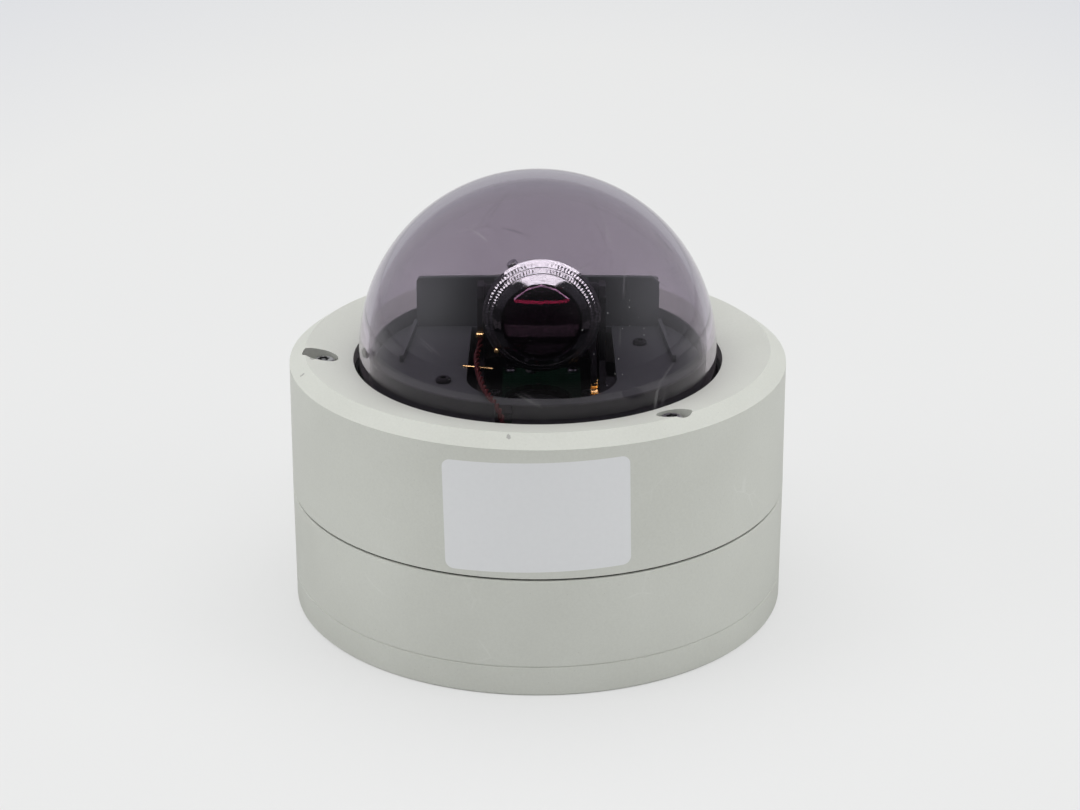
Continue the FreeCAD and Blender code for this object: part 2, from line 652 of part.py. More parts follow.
bearing = Piece("pan_bearing")
bearing.turn(("spindle_radius + running_gap", "chassis_z + 3.2"), ("hub_radius - 0.5", "chassis_z + 3.2"),
             ("hub_radius - 0.5", "chassis_z + 4.5"), ("bearing_radius", "chassis_z + 4.5"),
             ("bearing_radius", "turntable_top"), ("spindle_radius + running_gap", "turntable_top"))

gear_width = 3.5
keep("pan_gear", full_gear(number("pan_gear_teeth"), number("gear_module"), gear_width,
                           number("hub_radius"), 2, 90.0),
     at(0, 0, number("turntable_z") - gear_width))
below_gear = [at(p.Base.x, p.Base.y, p.Base.z, V(1, 0, 0), 180)
              for p in around(20, GEAR_SCREW_ANGLES, "turntable_z - %s" % gear_width)]
gear_holes = [Part.makeCylinder(1.4, 10, p.Base) for p in below_gear]
PIECES[-1][1].Shape = PIECES[-1][1].Shape.cut(Part.makeCompound(gear_holes))
copies("gear_screws", screw(2.2, 1.3, 1.25, 4.7, 1.1), below_gear)

# ---- yoke: base plate and two cheeks that carry the tilt bushes and the tilt motor ----
yoke = Piece("yoke")
yoke.pad("XY", "turntable_top", 2, box_loop("-cheek_outside", "cheek_outside", -13, 13),
         ("circle", 0, 0, "hub_radius"))
cheek_top = "tilt_z + bush_radius + 1.4"
cheek_back = ((12, "turntable_top"), (12, "tilt_z - 26.5"), (7.5, "tilt_z - 22"), (7.5, "tilt_z - 7"),
              (5.5, "tilt_z"), (5.5, "tilt_z + 2"), (3, cheek_top))
cheek_front = ((-3, cheek_top), (-5.5, "tilt_z + 2"), (-5.5, "tilt_z"), (-7.5, "tilt_z - 7"),
               (-7.5, "tilt_z - 18.5"), (-13, "tilt_z - 24"), (-22, "tilt_z - 24"),
               (-24.5, "tilt_z - 26.5"), (-24.5, "turntable_top"))
cheek = ("polygon",) + cheek_back + cheek_front
yoke.pad("YZ", "cheek_inside", "cheek_height", cheek)
yoke.pad("YZ", "-cheek_inside", "cheek_height", cheek, back=True)
yoke.cut("YZ", "50", 100, ("circle", 0, "tilt_z", "bush_radius"))
motor_axis_z = "tilt_z - tilt_motor_down"
yoke.cut("YZ", "cheek_outside", "cheek_height", ("circle", "-tilt_motor_ahead", motor_axis_z, 3.6),
         *[("circle", "%s - tilt_motor_ahead" % y, motor_axis_z, 1.1) for y in (-9.3, 9.3)])
yoke.cut("XY", "turntable_top + 2", 2, *[("circle", x, y, 1.4) for x, y in YOKE_SCREWS])
yoke.place("lens_x", 0, 0)
lens_x = number("lens_x")
copies("yoke_screws", screw(2.2, 0.9, 1.25, 4.0, 1.1),
       [at(lens_x + x, y, number("turntable_top + 2")) for x, y in YOKE_SCREWS])

bush = Part.makeCylinder(number("bush_radius"), number("cheek_height"))
bush = bush.fuse(Part.makeCylinder(number("bush_radius") + 1.2, 0.7, V(0, 0, -0.7)))
bush = bush.cut(Part.makeCylinder(number("pivot_radius + running_gap"), 10, V(0, 0, -5))).removeSplitter()
inside_face = number("cheek_inside")
copies("tilt_bushes", bush,
       [at(lens_x + inside_face, 0, number("tilt_z"), V(0, 1, 0), 90),
        at(lens_x - inside_face, 0, number("tilt_z"), V(0, 1, 0), -90)])

tilt_motor = Piece("tilt_motor")
tilt_motor.pad("XY", "cheek_outside", 13, ("circle", 0, 0, "tilt_motor_radius"))
tilt_motor.pad("XY", "cheek_outside", 0.8, box_loop(-4, 4, -11.5, 11.5))
tilt_motor.pad("XY", "cheek_outside", "cheek_height", ("circle", 0, 0, 3.5), back=True)
tilt_motor.cut("XY", "cheek_inside", 6, ("circle", 0, 0, "1 + running_gap"), ahead=True)
tilt_motor.cut("XY", "cheek_outside + 0.8", 0.8, *[("circle", 0, y, "1 + thread_gap") for y in (-9.3, 9.3)])
tilt_motor.along_tilt_motor()
pinion_y = -number("tilt_motor_ahead")
pinion_z = number(motor_axis_z)
copies("tilt_motor_screws", screw(1.6, 0.7, 1.0, 2.9, 0.8),
       [at(lens_x + inside_face, pinion_y + y, pinion_z, V(0, 1, 0), -90) for y in (-9.3, 9.3)])
tilt_shaft = Piece("tilt_motor_shaft")
tilt_shaft.pad("XY", "head_half_width + 0.6", "cheek_inside - head_half_width + 3", ("circle", 0, 0, 1))
tilt_shaft.along_tilt_motor()
small_teeth = number("tilt_pinion_teeth")
small_turn = 180 / small_teeth - number("tilt_motor_turn")
keep("tilt_pinion", full_gear(small_teeth, number("gear_module"), 2.2, 1.0, 2, small_turn),
     at(lens_x + number("head_half_width") + 0.6, pinion_y, pinion_z, V(0, 1, 0), 90))

# ---- board under the slot, with the connector of the wire pair ----
pan_board = Piece("pan_board")
pan_board.pad("XY", "pan_board_z", 1.6, box_loop(-13, 13, -30, 26), ("circle", "-lens_x", 0, 10.8),
              *[("circle", x, y, 1.2) for x, y in BOARD_POSTS])
pan_board.place("lens_x", 0, 0)
copies("pan_board_screws", screw(1.9, 1.0, 1.0, 4.4, 0.9),
       [at(lens_x + x, y, number("pan_board_top")) for x, y in BOARD_POSTS])
WIRE_X = -9.0
connector = Piece("wire_connector")
connector.pad("XY", "pan_board_top", 4.5, box_loop(WIRE_X + 5.0, WIRE_X + 12.0, -24, -18))
connector.cut("XZ", 24, 4.5,
              box_loop(WIRE_X + 6.0, WIRE_X + 11.0, "pan_board_top + 1", "pan_board_top + 3.8"))

# ---- liner: dark floor disc with the slot, rear screen and two side ribs ----
liner = Piece("liner")
liner.pad("XY", "liner_under", "liner_height", ("circle", 0, 0, "liner_radius"))
slot_left = "lens_x - slot_half_width"
slot_right = "lens_x + slot_half_width"
liner.cut("XY", "liner_z", "liner_height", box_loop(slot_left, slot_right, "-slot_front", "slot_back"))
slot_wall = number("slot_half_width")
liner.round_edges("slot_corner", lambda p, e: p.y < -30 and abs(abs(p.x - lens_x) - slot_wall) < 0.1
                  and e.BoundBox.ZLength > 1)
liner.pad("XZ", "-rear_plate_y", 2, box_loop("-rear_plate_half_width", "rear_plate_half_width", "liner_z",
                                             "rear_plate_top_z"), back=True)
liner.round_edges(1.6, lambda p, e: abs(p.z - number("rear_plate_top_z")) < 0.1 and e.BoundBox.YLength > 1)
for side in (-1, 1):
    rib = (("rear_plate_half_width - 0.4", "rear_plate_y + 1"),
           ("rear_plate_half_width + 0.9", "rear_plate_y + 1"),
           ("rear_plate_half_width + 3.2", -5), ("rear_plate_half_width + 2", -5))
    liner.pad("XY", "liner_z", 2.4, ("polygon",) + tuple(("%d * (%s)" % (side, x), y) for x, y in rib))
liner.cut("XY", "liner_z", "liner_height", *[("circle", x, y, 1.4) for x, y in LINER_SCREWS])
liner.cut("XY", "liner_z", "liner_height",
          box_loop(-12.8, -7.6, "-liner_radius - 2", "-liner_radius + 5.6"))
copies("liner_screws", screw(2.4, 1.4, 1.25, 8.0, 1.1),
       [at(number(x), number(y), number("liner_z")) for x, y in LINER_SCREWS])

guide = Piece("wire_guide")
guide.pad("XY", "liner_z", 0.5, ("polygon", (-24, -9.2), (-14.2, -11.7), (-13.9, -10.6), (-23.7, -8.1)))

# ---- twisted wire pair of the iris drive, from the cheek over the liner to the board ----
terminal = Piece("wire_terminal")
terminal.pad("XY", "tilt_z - 10.2", 1.6, box_loop("-1.3 - cheek_inside", "1.4 - cheek_inside", -9.6, -7.5))
spots = [("0.1 - cheek_inside", -8.8, "tilt_z - 10.2"), ("0.1 - cheek_inside", -8.8, "tilt_z - 13.1"),
         (-19.4, -16.0, "liner_z + 6"), (-18.4, -25.0, "liner_z + 4"), (-16.4, -34.0, "liner_z + 2"),
         (-10.4, "3.2 - liner_radius", "liner_z + 1.4"), (-10.2, "2.4 - liner_radius", "liner_z - 10"),
         (WIRE_X + 8.5, -23.4, "pan_board_top + 2.4")]
path_radii = []
wires = []
for side in (-1, 1):
    shift = side * number("wire_spacing") / 2
    route, path_radii = rounded_route([V(number(x) + shift, number(y), number(z)) for x, y, z in spots])
    start = route.OrderedVertexes[0].Point
    tangent = route.OrderedEdges[0].tangentAt(route.OrderedEdges[0].FirstParameter)
    ring = Part.Wire(Part.Circle(start, tangent, number("wire_radius")).toShape())
    tube = route.makePipeShell([ring], True, False)
    area = math.pi * number("wire_radius") ** 2
    print("wire length %.1f, volume ratio %.4f" % (route.Length, tube.Volume / (area * route.Length)))
    wires.append(tube)
print("wire bend radii", [round(r, 1) for r in path_radii])
keep("iris_wires", Part.makeCompound(wires))

# ==== tilt head ====
half = "head_half_width"
shoulder = (("head_half_width", "-head_half_width"), ("head_half_width", 2.6), (8, 5.2), (4, 6.7))
frame_outline = ("polygon",) + shoulder + tuple(("-(%s)" % x, y) for x, y in reversed(shoulder))
HOUSING_SCREWS = ((-12.0, -12.0), (12.0, -12.0), (-13.2, -5.0), (13.2, -5.0))


def housing_holes(radius):
    return [("circle", x, y, radius) for x, y in HOUSING_SCREWS]


frame = Piece("camera_frame")
frame.pad("XY", "-1.4", 4.8, frame_outline, ("circle", 0, 0, 5.4), *housing_holes(1.2))
frame.round_edges(2, lambda p, e: e.BoundBox.ZLength > 4 and abs(p.x) > 14 and p.y < -14)
frame.pad("YZ", half, "cheek_outside - head_half_width",
          ("circle", "-(lens_z - tilt_z)", 0, "pivot_radius"))
frame.pad("YZ", "-" + half, "cheek_outside - head_half_width",
          ("circle", "-(lens_z - tilt_z)", 0, "pivot_radius"), back=True)
frame.along_lens()

hub = Part.makeCylinder(5.0, number("cheek_inside - head_half_width - 0.75"), V(0, 0, -0.6))
module = number("gear_module")
teeth = number("tilt_gear_teeth")
sector_teeth = range(-2, 19)
rim_points = gear_points(teeth, module, 2, sector_teeth, 0.0)
sector = Part.Face(Part.makePolygon([V(0, 0, 0)] + rim_points + [V(0, 0, 0)])).extrude(V(0, 0, 1.8))
sector = sector.fuse(hub).cut(Part.makeCylinder(number("pivot_radius"), 10, V(0, 0, -1)))
window_points = []
for radius, angles in ((20.0, range(2, 89, 6)), (9.0, range(86, 3, -12))):
    for turn in (math.radians(a) for a in angles):
        window_points.append(V(radius * math.cos(turn), radius * math.sin(turn), -1))
window = Part.Face(Part.makePolygon(window_points + window_points[:1])).extrude(V(0, 0, 4))
turned_to_motor = at(0, 0, 0, V(0, 0, 1), -number("tilt_motor_turn"))
keep("tilt_gear", sector.cut(window).removeSplitter(),
     at(lens_x + number(half) + 0.6, 0, number("tilt_z"), V(0, 1, 0), 90).multiply(turned_to_motor))

spacer = Piece("tilt_spacer")
spacer.turn(("pivot_radius", "-(cheek_inside - 0.75)"), (4.5, "-(cheek_inside - 0.75)"),
            (4.5, "-" + half), ("pivot_radius", "-" + half))
spacer.along_tilt_axis()

sensor_board = Piece("sensor_board")
sensor_board.pad("XY", -3, 1.6, frame_outline, *housing_holes(1.2))
sensor_board.along_lens()
sensor = Piece("image_sensor")
sensor.pad("XY", -1.4, 1.8, box_loop(-3.7, 3.7, -3.2, 3.2))
sensor.along_lens()
rear = Piece("sensor_housing")
rear.pad("XY", -12, 9, box_loop("-" + half, half, "-" + half, -1))
rear.round_edges(1.5, lambda p, e: e.BoundBox.ZLength > 8 or p.z < -11.9)
rear.cut("XY", -3, 3, *housing_holes("1 + thread_gap"))
rear.along_lens()
copies("housing_screws", screw(1.6, 1.0, 1.0, 8.9, 0.8),
       [at(lens_x + x, -3.4, number("lens_z") + y, V(1, 0, 0), 90) for x, y in HOUSING_SCREWS])

# ---- varifocal lens: fixed barrel, zoom ring, focus ring with the front glass ----
barrel = Piece("lens_barrel")
barrel.turn((6, 3.4), (9.4, 3.4), (9.4, 7), (11, 7), (11, 11), (12, 11), (12, "zoom_start - 1.2"),
            ("core_radius + 0.5", "zoom_start - 1.2"), ("core_radius + 0.5", "zoom_start - 0.3"),
            ("core_radius", "zoom_start - 0.3"), ("core_radius", "focus_start + 3.4"),
            (11.2, "focus_start + 3.4"), (11.2, 16.4), (8.2, 16.4), (6.5, 15.2), (6.5, 13.2), (6, 13.2))
barrel.along_lens()
iris = Piece("iris_housing")
iris_side = ((0, -15.4), (7, -14.6), (12.5, -12.2), (15.3, -8.5), (15.3, -3))
iris.pad("XY", 7, 4, ("polygon",) + iris_side + tuple((-x, y) for x, y in reversed(iris_side[1:])))
iris.cut("XY", 11, 4, ("circle", 0, 0, 11))
iris.along_lens()
relay = Piece("inner_element")
relay.turn((0, 16.6), (2.5, 16.3), (5, 15.4), (6.5, 14.4), (6.5, 13.2), (0, 13.2))
relay.along_lens()

zoom = Piece("zoom_ring")
zoom.turn(("core_radius + running_gap", "zoom_start"), ("zoom_radius - 0.8", "zoom_start"),
          ("zoom_radius", "zoom_start + 0.8"), ("zoom_radius", "zoom_end - 0.8"),
          ("zoom_radius - 0.8", "zoom_end"), ("core_radius + running_gap", "zoom_end"))
zoom.along_lens()
focus = Piece("focus_ring")
round_front = [("bezel_radius + (focus_radius - bezel_radius) * sin(%d)" % a,
                "focus_end - focus_shoulder * (1 - cos(%d))" % a) for a in range(90, -1, -15)]
focus.turn(("core_radius + running_gap", "focus_start"), ("focus_radius - 2.4", "focus_start"),
           ("focus_radius - 2.1", "focus_start + 0.3"), ("focus_radius - 2.1", "focus_start + 2.2"),
           ("focus_radius", "focus_end - focus_shoulder - 0.5"), *round_front,
           ("bezel_radius", "bezel_front - 5"), (10.6, "bezel_front - 5"),
           (10.6, "focus_start + 4"), ("core_radius + running_gap", "focus_start + 4"))
focus.along_lens()
bezel = Piece("lens_bezel")
bezel.turn(("glass_radius", "bezel_front - 5"), ("bezel_radius", "bezel_front - 5"),
           ("bezel_radius", "bezel_front - 0.6"), ("bezel_radius - 0.6", "bezel_front"),
           (11.3, "bezel_front"), (11.3, "bezel_front - 1"), ("glass_radius", "bezel_front - 1"))
bezel.along_lens()
glass = Piece("front_element")
glass.turn((0, "bezel_front - 5"), ("glass_radius", "bezel_front - 5"), ("glass_radius", "bezel_front - 3.2"),
           (9, "bezel_front - 1.9"), (6, "bezel_front - 1.1"), (3, "bezel_front - 0.65"),
           (0, "bezel_front - 0.5"))
glass.along_lens()


def lock_screw(angle, forward, ring_radius):
    """Thumb screw that stands out of a lens ring, seated in the ring's wall."""
    reach = ring_radius + number("lock_screw_height")
    root = number("core_radius") + 0.8
    stem = Part.makeCylinder(0.8, ring_radius - root + 0.5, V(0, 0, root))
    knob = Part.makeCylinder(1.7, reach - ring_radius - 0.4, V(0, 0, ring_radius + 0.4))
    rim = [e for e in knob.Edges if e.BoundBox.ZMin > reach - 0.1 and e.BoundBox.XLength > 1]
    knob = knob.makeChamfer(0.35, rim)
    solid = stem.fuse(knob)
    solid.rotate(V(0, 0, 0), V(0, 1, 0), 90 - angle)
    solid.translate(V(lens_x, -forward, number("lens_z")))
    return solid


def pocket_ring(piece, screw_solid):
    """Seat of the thumb screw in its ring: the screw's own solid is taken out of it."""
    seat = doc.addObject("Part::Feature", piece.label + "_seat")
    seat.Shape = screw_solid
    bored = doc.addObject("Part::Cut", piece.label + "_bored")
    bored.Base = piece.body
    bored.Tool = seat
    for i, (label, item) in enumerate(PIECES):
        if label == piece.label:
            PIECES[i] = (label, bored)


zoom_screw = lock_screw(ZOOM_LOCK_ANGLE, number("zoom_start + zoom_length / 2"), number("zoom_radius"))
focus_screw = lock_screw(FOCUS_LOCK_ANGLE, number("focus_start + 1.7"), number("focus_radius - 2.1"))
keep("zoom_lock_screw", zoom_screw)
pocket_ring(zoom, zoom_screw)
keep("focus_lock_screw", focus_screw)
pocket_ring(focus, focus_screw)

# ==== check every object and write one STEP file for each piece ====
doc.recompute()
for item in doc.Objects:
    if "Invalid" in item.State or "Error" in item.State:
        raise RuntimeError("bad object: " + item.Name)
for label, item in PIECES:
    item.Label = label
    shape = item.Shape
    if shape.isNull() or not shape.isValid():
        raise RuntimeError("bad shape: " + label)
    shape.exportStep("parts/%s.step" % label)
    box = shape.BoundBox
    print("%-20s %2d solids %10.1f mm3 " % (label, len(shape.Solids), shape.Volume),
          "x %6.1f %6.1f " % (box.XMin, box.XMax),
          "y %6.1f %6.1f " % (box.YMin, box.YMax),
          "z %6.1f %6.1f" % (box.ZMin, box.ZMax))
print(len(PIECES), "pieces")
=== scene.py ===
# Finished model of a pan and tilt dome camera with a round powder-coated body.
# Lengths are metres, in the frame of the solid model: +Z through the dome, the lens looks along -Y.
import json
from math import atan2, cos, hypot, pi, radians, sin

import bmesh
import bpy
from mathutils import Matrix, Quaternion, Vector


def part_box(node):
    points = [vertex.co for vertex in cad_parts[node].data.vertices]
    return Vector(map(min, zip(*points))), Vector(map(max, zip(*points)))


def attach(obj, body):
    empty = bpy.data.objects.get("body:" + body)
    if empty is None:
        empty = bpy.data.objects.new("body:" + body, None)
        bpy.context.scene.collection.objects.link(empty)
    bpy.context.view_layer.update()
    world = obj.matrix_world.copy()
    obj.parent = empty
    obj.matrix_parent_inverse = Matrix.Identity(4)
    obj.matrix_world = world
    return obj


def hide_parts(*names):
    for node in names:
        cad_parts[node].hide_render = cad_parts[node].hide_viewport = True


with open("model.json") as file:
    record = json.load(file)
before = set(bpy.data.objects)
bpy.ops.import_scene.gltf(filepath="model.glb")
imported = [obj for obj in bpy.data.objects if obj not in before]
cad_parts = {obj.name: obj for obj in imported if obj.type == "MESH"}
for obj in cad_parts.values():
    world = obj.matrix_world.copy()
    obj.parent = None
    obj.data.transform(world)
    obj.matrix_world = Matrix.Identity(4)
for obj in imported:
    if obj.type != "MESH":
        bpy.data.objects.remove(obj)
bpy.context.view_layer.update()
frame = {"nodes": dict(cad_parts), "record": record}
nodes = frame["nodes"]

MM = 0.001

# light of the room, as plain values of colour and power
ROOM_TONE = (0.40, 0.40, 0.405)
MIRRORED_AHEAD = (0.03, 0.03, 0.033)
MIRRORED_BEHIND = (0.60, 0.61, 0.63)
MIRRORED_SIDES = (1.18, 1.21, 1.25)
MIRRORED_ABOVE = (0.45, 0.46, 0.48)
MIRRORED_FLOOR = (0.10, 0.10, 0.10)
MIRRORED_FLOOR_BEHIND = (0.66, 0.66, 0.66)
FLOOR_NEAR = (0.760, 0.763, 0.762)
FLOOR_FAR = (0.63, 0.645, 0.70)
FLOOR_LIFT = 0.65
CEILING_POWER = 60.0
SIDE_POWER = 9.5

# place, turn and lens of the view; the lens in millimetres
VIEW_PLACE = (0.9 * MM, -730.5 * MM, 357.6 * MM)
VIEW_TURN = (radians(68.05), radians(0.04), 0.0)
VIEW_LENS = 80.83
VIEW_SENSOR = 36.0

# the optical axis, and a spot on it inside the lens that the lamps aim at
LENS_X, LENS_Z = 1.2 * MM, 103.0 * MM
SPOT_IN_LENS = (LENS_X, -0.03, LENS_Z)

# the liner: thickness of its floor, and the gap in its front edge where the wires pass
LINER_FLOOR = 2.0 * MM
WIRE_GAP = (-12.8 * MM, -7.6 * MM)

# marks of wear: knocks on the cover as x, y and size in millimetres, and the dusty patch of the dome
CHIPS = ((-71.6, -12.3, 1.5), (-73.7, -23.0, 1.2), (-8.5, -75.4, 1.3))
CHIP_COLOUR = (0.36, 0.36, 0.34, 1)
DUSTY_PLACE = (23.0 * MM, -48.0 * MM, 104.0 * MM)


# ==== view, lamps and floor ====
def set_view():
    view = bpy.data.cameras.new("view")
    view.lens = VIEW_LENS
    view.sensor_width = VIEW_SENSOR
    view.clip_start = 0.02
    camera = bpy.data.objects.new("view", view)
    camera.location = VIEW_PLACE
    camera.rotation_euler = VIEW_TURN
    bpy.context.scene.collection.objects.link(camera)
    bpy.context.scene.camera = camera
    bpy.context.scene.view_settings.view_transform = "Standard"


def soft_lamp(name, place, aim, width, depth, power, only=(), roll=0.0, shape="RECTANGLE"):
    """Studio lamp that leaves no reflection, or one seen only as a reflection in the given pieces."""
    lamp = bpy.data.lights.new(name, "AREA")
    lamp.shape = shape
    lamp.size = width
    lamp.size_y = depth
    lamp.energy = power
    lamp_object = bpy.data.objects.new(name, lamp)
    lamp_object.location = place
    direction = Vector(aim) - Vector(place)
    turn = direction.to_track_quat("-Z", "Y") @ Quaternion((0, 0, 1), radians(roll))
    lamp_object.rotation_euler = turn.to_euler()
    lamp_object.visible_glossy = bool(only)
    lamp_object.visible_diffuse = not only
    lamp_object.visible_transmission = False
    lamp_object.visible_camera = False
    if only:
        lit = bpy.data.collections.new(name + "_pieces")
        for piece in only:
            lit.objects.link(piece)
        lamp_object.light_linking.receiver_collection = lit
    bpy.context.scene.collection.objects.link(lamp_object)
    return lamp_object


def light_room():
    """Evenly pale room under a wide ceiling lamp; in mirrors it is dark ahead of the lens, pale elsewhere."""
    world = bpy.data.worlds.new("room")
    bpy.context.scene.world = world
    world.use_nodes = True
    tree = world.node_tree
    tree.nodes.clear()
    way = add(tree, "SeparateXYZ", Vector=add(tree, "TexCoord").outputs["Generated"])
    behind = span(tree, way.outputs["Y"], -0.45, 0.15)
    mirrored = mix_colour(tree, behind, MIRRORED_AHEAD + (1,), MIRRORED_BEHIND + (1,))
    above = span(tree, way.outputs["Z"], 0.75, 0.95)
    mirrored = mix_colour(tree, above, mirrored, MIRRORED_ABOVE + (1,))
    rising = span(tree, way.outputs["Y"], -0.75, -0.15)
    falling = span(tree, way.outputs["Y"], -0.05, 0.45, 1.0, 0.0)
    low = times(tree, span(tree, way.outputs["Z"], 0.05, 0.35, 0.2, 1.0),
                span(tree, way.outputs["Z"], 0.50, 0.85, 1.0, 0.0))
    beside = times(tree, times(tree, rising, falling), low)
    mirrored = mix_colour(tree, beside, mirrored, MIRRORED_SIDES + (1,))
    path = add(tree, "LightPath")
    in_mirror = compute(tree, "MAXIMUM", path.outputs["Is Glossy Ray"], path.outputs["Is Transmission Ray"])
    tone = mix_colour(tree, in_mirror, ROOM_TONE + (1,), mirrored)
    light = add(tree, "Background", Color=tone, Strength=1.0)
    output = tree.nodes.new("ShaderNodeOutputWorld")
    tree.links.new(light.outputs[0], output.inputs["Surface"])
    soft_lamp("ceiling_lamp", (0.0, 0.25, 2.4), (0.0, 0.1, 0.0), 3.4, 3.4, CEILING_POWER)
    soft_lamp("left_lamp", (-1.9, -0.5, 1.0), (0.0, 0.0, 0.05), 1.2, 1.2, SIDE_POWER)
    soft_lamp("right_lamp", (1.9, -0.5, 1.0), (0.0, 0.0, 0.05), 1.2, 1.2, SIDE_POWER)


def lay_floor():
    """White board; it keeps some light in the shadows and is dark in mirror images."""
    clear_selection()
    bpy.ops.mesh.primitive_plane_add(size=8.0, location=(0.0, 0.0, -0.00005))
    floor = bpy.context.object
    floor.name = "floor"
    bpy.ops.object.transform_apply(location=True, rotation=True, scale=True)
    finish = Finish("floor_board", Roughness=0.8, Specular_IOR_Level=0.2)
    tree = finish.tree
    spot = add(tree, "TexCoord").outputs["Object"]
    cloud = add(tree, "TexNoise", Vector=spot, Scale=3.0, Detail=3.0).outputs["Fac"]
    fine = add(tree, "TexNoise", Vector=spot, Scale=220.0, Detail=2.0).outputs["Fac"]
    finish.feed("Base Color", mix_colour(tree, cloud, (0.80, 0.805, 0.80, 1), (0.82, 0.825, 0.82, 1)))
    finish.bump(fine, 0.15, 0.0001)
    wide = add(tree, "Mapping", Vector=spot, Scale=(2.2, 1.0, 1.0)).outputs[0]
    away = add(tree, "VectorMath", {"operation": "LENGTH"}, Vector=wide).outputs["Value"]
    glow_tone = mix_colour(tree, span(tree, away, 0.75, 1.35), FLOOR_NEAR + (1,), FLOOR_FAR + (1,))
    glow = add(tree, "Emission", Color=glow_tone, Strength=1.0)
    path = add(tree, "LightPath")
    seen = compute(tree, "MAXIMUM", path.outputs["Is Camera Ray"], path.outputs["Is Transmission Ray"])
    lifted = mix_shaders(tree, times(tree, seen, FLOOR_LIFT), finish.shader, glow)
    back = span(tree, add(tree, "SeparateXYZ", Vector=spot).outputs["Y"], -0.06, 0.22)
    dark_tone = mix_colour(tree, back, MIRRORED_FLOOR + (1,), MIRRORED_FLOOR_BEHIND + (1,))
    dark = add(tree, "BsdfDiffuse", Color=dark_tone)
    mirrored = compute(tree, "MINIMUM", path.outputs["Glossy Depth"], 1.0)
    show(tree, mix_shaders(tree, mirrored, lifted, dark))
    floor.data.materials.append(finish.material)


# ==== nodes of the finishes ====
def plug(tree, value, socket):
    """Feeds the socket with another socket, or with a plain value."""
    if isinstance(value, bpy.types.NodeSocket):
        tree.links.new(value, socket)
    else:
        socket.default_value = value


def add(tree, kind, plain=None, **inputs):
    """A node with its settings, its values and the sockets that feed it."""
    node = tree.nodes.new("ShaderNode" + kind)
    for name, value in (plain or {}).items():
        setattr(node, name, value)
    for name, value in inputs.items():
        plug(tree, value, node.inputs[name.replace("_", " ")])
    return node


def compute(tree, operation, first, second=0.0, clamp=False):
    node = tree.nodes.new("ShaderNodeMath")
    node.operation = operation
    node.use_clamp = clamp
    for socket, value in zip(node.inputs, (first, second)):
        plug(tree, value, socket)
    return node.outputs[0]


def times(tree, first, second, clamp=False):
    return compute(tree, "MULTIPLY", first, second, clamp)


def mix_colour(tree, share, first, second):
    node = tree.nodes.new("ShaderNodeMix")
    node.data_type = "RGBA"
    for socket, value in zip((node.inputs[0], node.inputs[6], node.inputs[7]), (share, first, second)):
        plug(tree, value, socket)
    return node.outputs[2]


def mix_shaders(tree, share, first, second):
    """Two shaders in one; the share is that of the second."""
    node = add(tree, "MixShader", Fac=share)
    tree.links.new(first.outputs[0], node.inputs[1])
    tree.links.new(second.outputs[0], node.inputs[2])
    return node


def show(tree, shader):
    tree.links.new(shader.outputs[0], tree.nodes["Material Output"].inputs["Surface"])


def distance_to(tree, vector, place):
    node = add(tree, "VectorMath", {"operation": "DISTANCE"})
    tree.links.new(vector, node.inputs[0])
    node.inputs[1].default_value = place
    return node.outputs["Value"]


def span(tree, value, low, high, bottom=0.0, top=1.0):
    """The value's course from low to high, laid over bottom to top."""
    node = add(tree, "MapRange", Value=value, From_Min=low, From_Max=high, To_Min=bottom, To_Max=top)
    return node.outputs[0]


def new_group(name, inputs, outputs):
    group = bpy.data.node_groups.new(name, "ShaderNodeTree")
    for label, value in inputs.items():
        socket = group.interface.new_socket(name=label, in_out="INPUT", socket_type="NodeSocketFloat")
        socket.default_value = value
    for label in outputs:
        group.interface.new_socket(name=label, in_out="OUTPUT", socket_type="NodeSocketFloat")
    return group, group.nodes.new("NodeGroupInput"), group.nodes.new("NodeGroupOutput")


def build_grain():
    """Fine skin of a coat or a moulding: Tone round 0.5 and Height."""
    group, given, out = new_group("grain", {"Scale": 1500.0, "Softness": 0.5}, ("Tone", "Height"))
    spot = add(group, "TexCoord").outputs["Object"]
    fine = add(group, "TexNoise", Vector=spot, Scale=given.outputs["Scale"], Detail=3.0,
               Roughness=given.outputs["Softness"]).outputs["Fac"]
    wide = add(group, "TexNoise", Vector=spot, Scale=times(group, given.outputs["Scale"], 0.02),
               Detail=2.0).outputs["Fac"]
    tone = compute(group, "ADD", times(group, fine, 0.5), times(group, wide, 0.5))
    group.links.new(tone, out.inputs["Tone"])
    group.links.new(fine, out.inputs["Height"])
    return group


def build_scuffs():
    """Short thin scratches in all directions and specks of dust, as masks."""
    group, given, out = new_group("scuffs", {"Scale": 40.0, "Amount": 0.3}, ("Scratches", "Dust"))
    spot = add(group, "TexCoord").outputs["Object"]
    warp = add(group, "TexNoise", Vector=spot, Scale=12.0, Detail=2.0).outputs["Color"]
    bent = mix_colour(group, 0.04, spot, warp)
    lines = add(group, "TexVoronoi", {"feature": "DISTANCE_TO_EDGE"}, Vector=bent,
                Scale=given.outputs["Scale"]).outputs["Distance"]
    thin = span(group, lines, 0.0, 0.012, 1.0, 0.0)
    cloud = add(group, "TexNoise", Vector=spot, Scale=55.0, Detail=2.0).outputs["Fac"]
    patches = span(group, cloud, 0.54, 0.66)
    marks = times(group, times(group, thin, patches), given.outputs["Amount"])
    cells = add(group, "TexVoronoi", Vector=spot, Scale=900.0)
    draw = add(group, "SeparateColor", Color=cells.outputs["Color"]).outputs[0]
    rare = compute(group, "GREATER_THAN", draw, 0.93)
    speck = times(group, span(group, cells.outputs["Distance"], 0.10, 0.16, 1.0, 0.0), rare)
    group.links.new(marks, out.inputs["Scratches"])
    group.links.new(times(group, speck, given.outputs["Amount"]), out.inputs["Dust"])
    return group


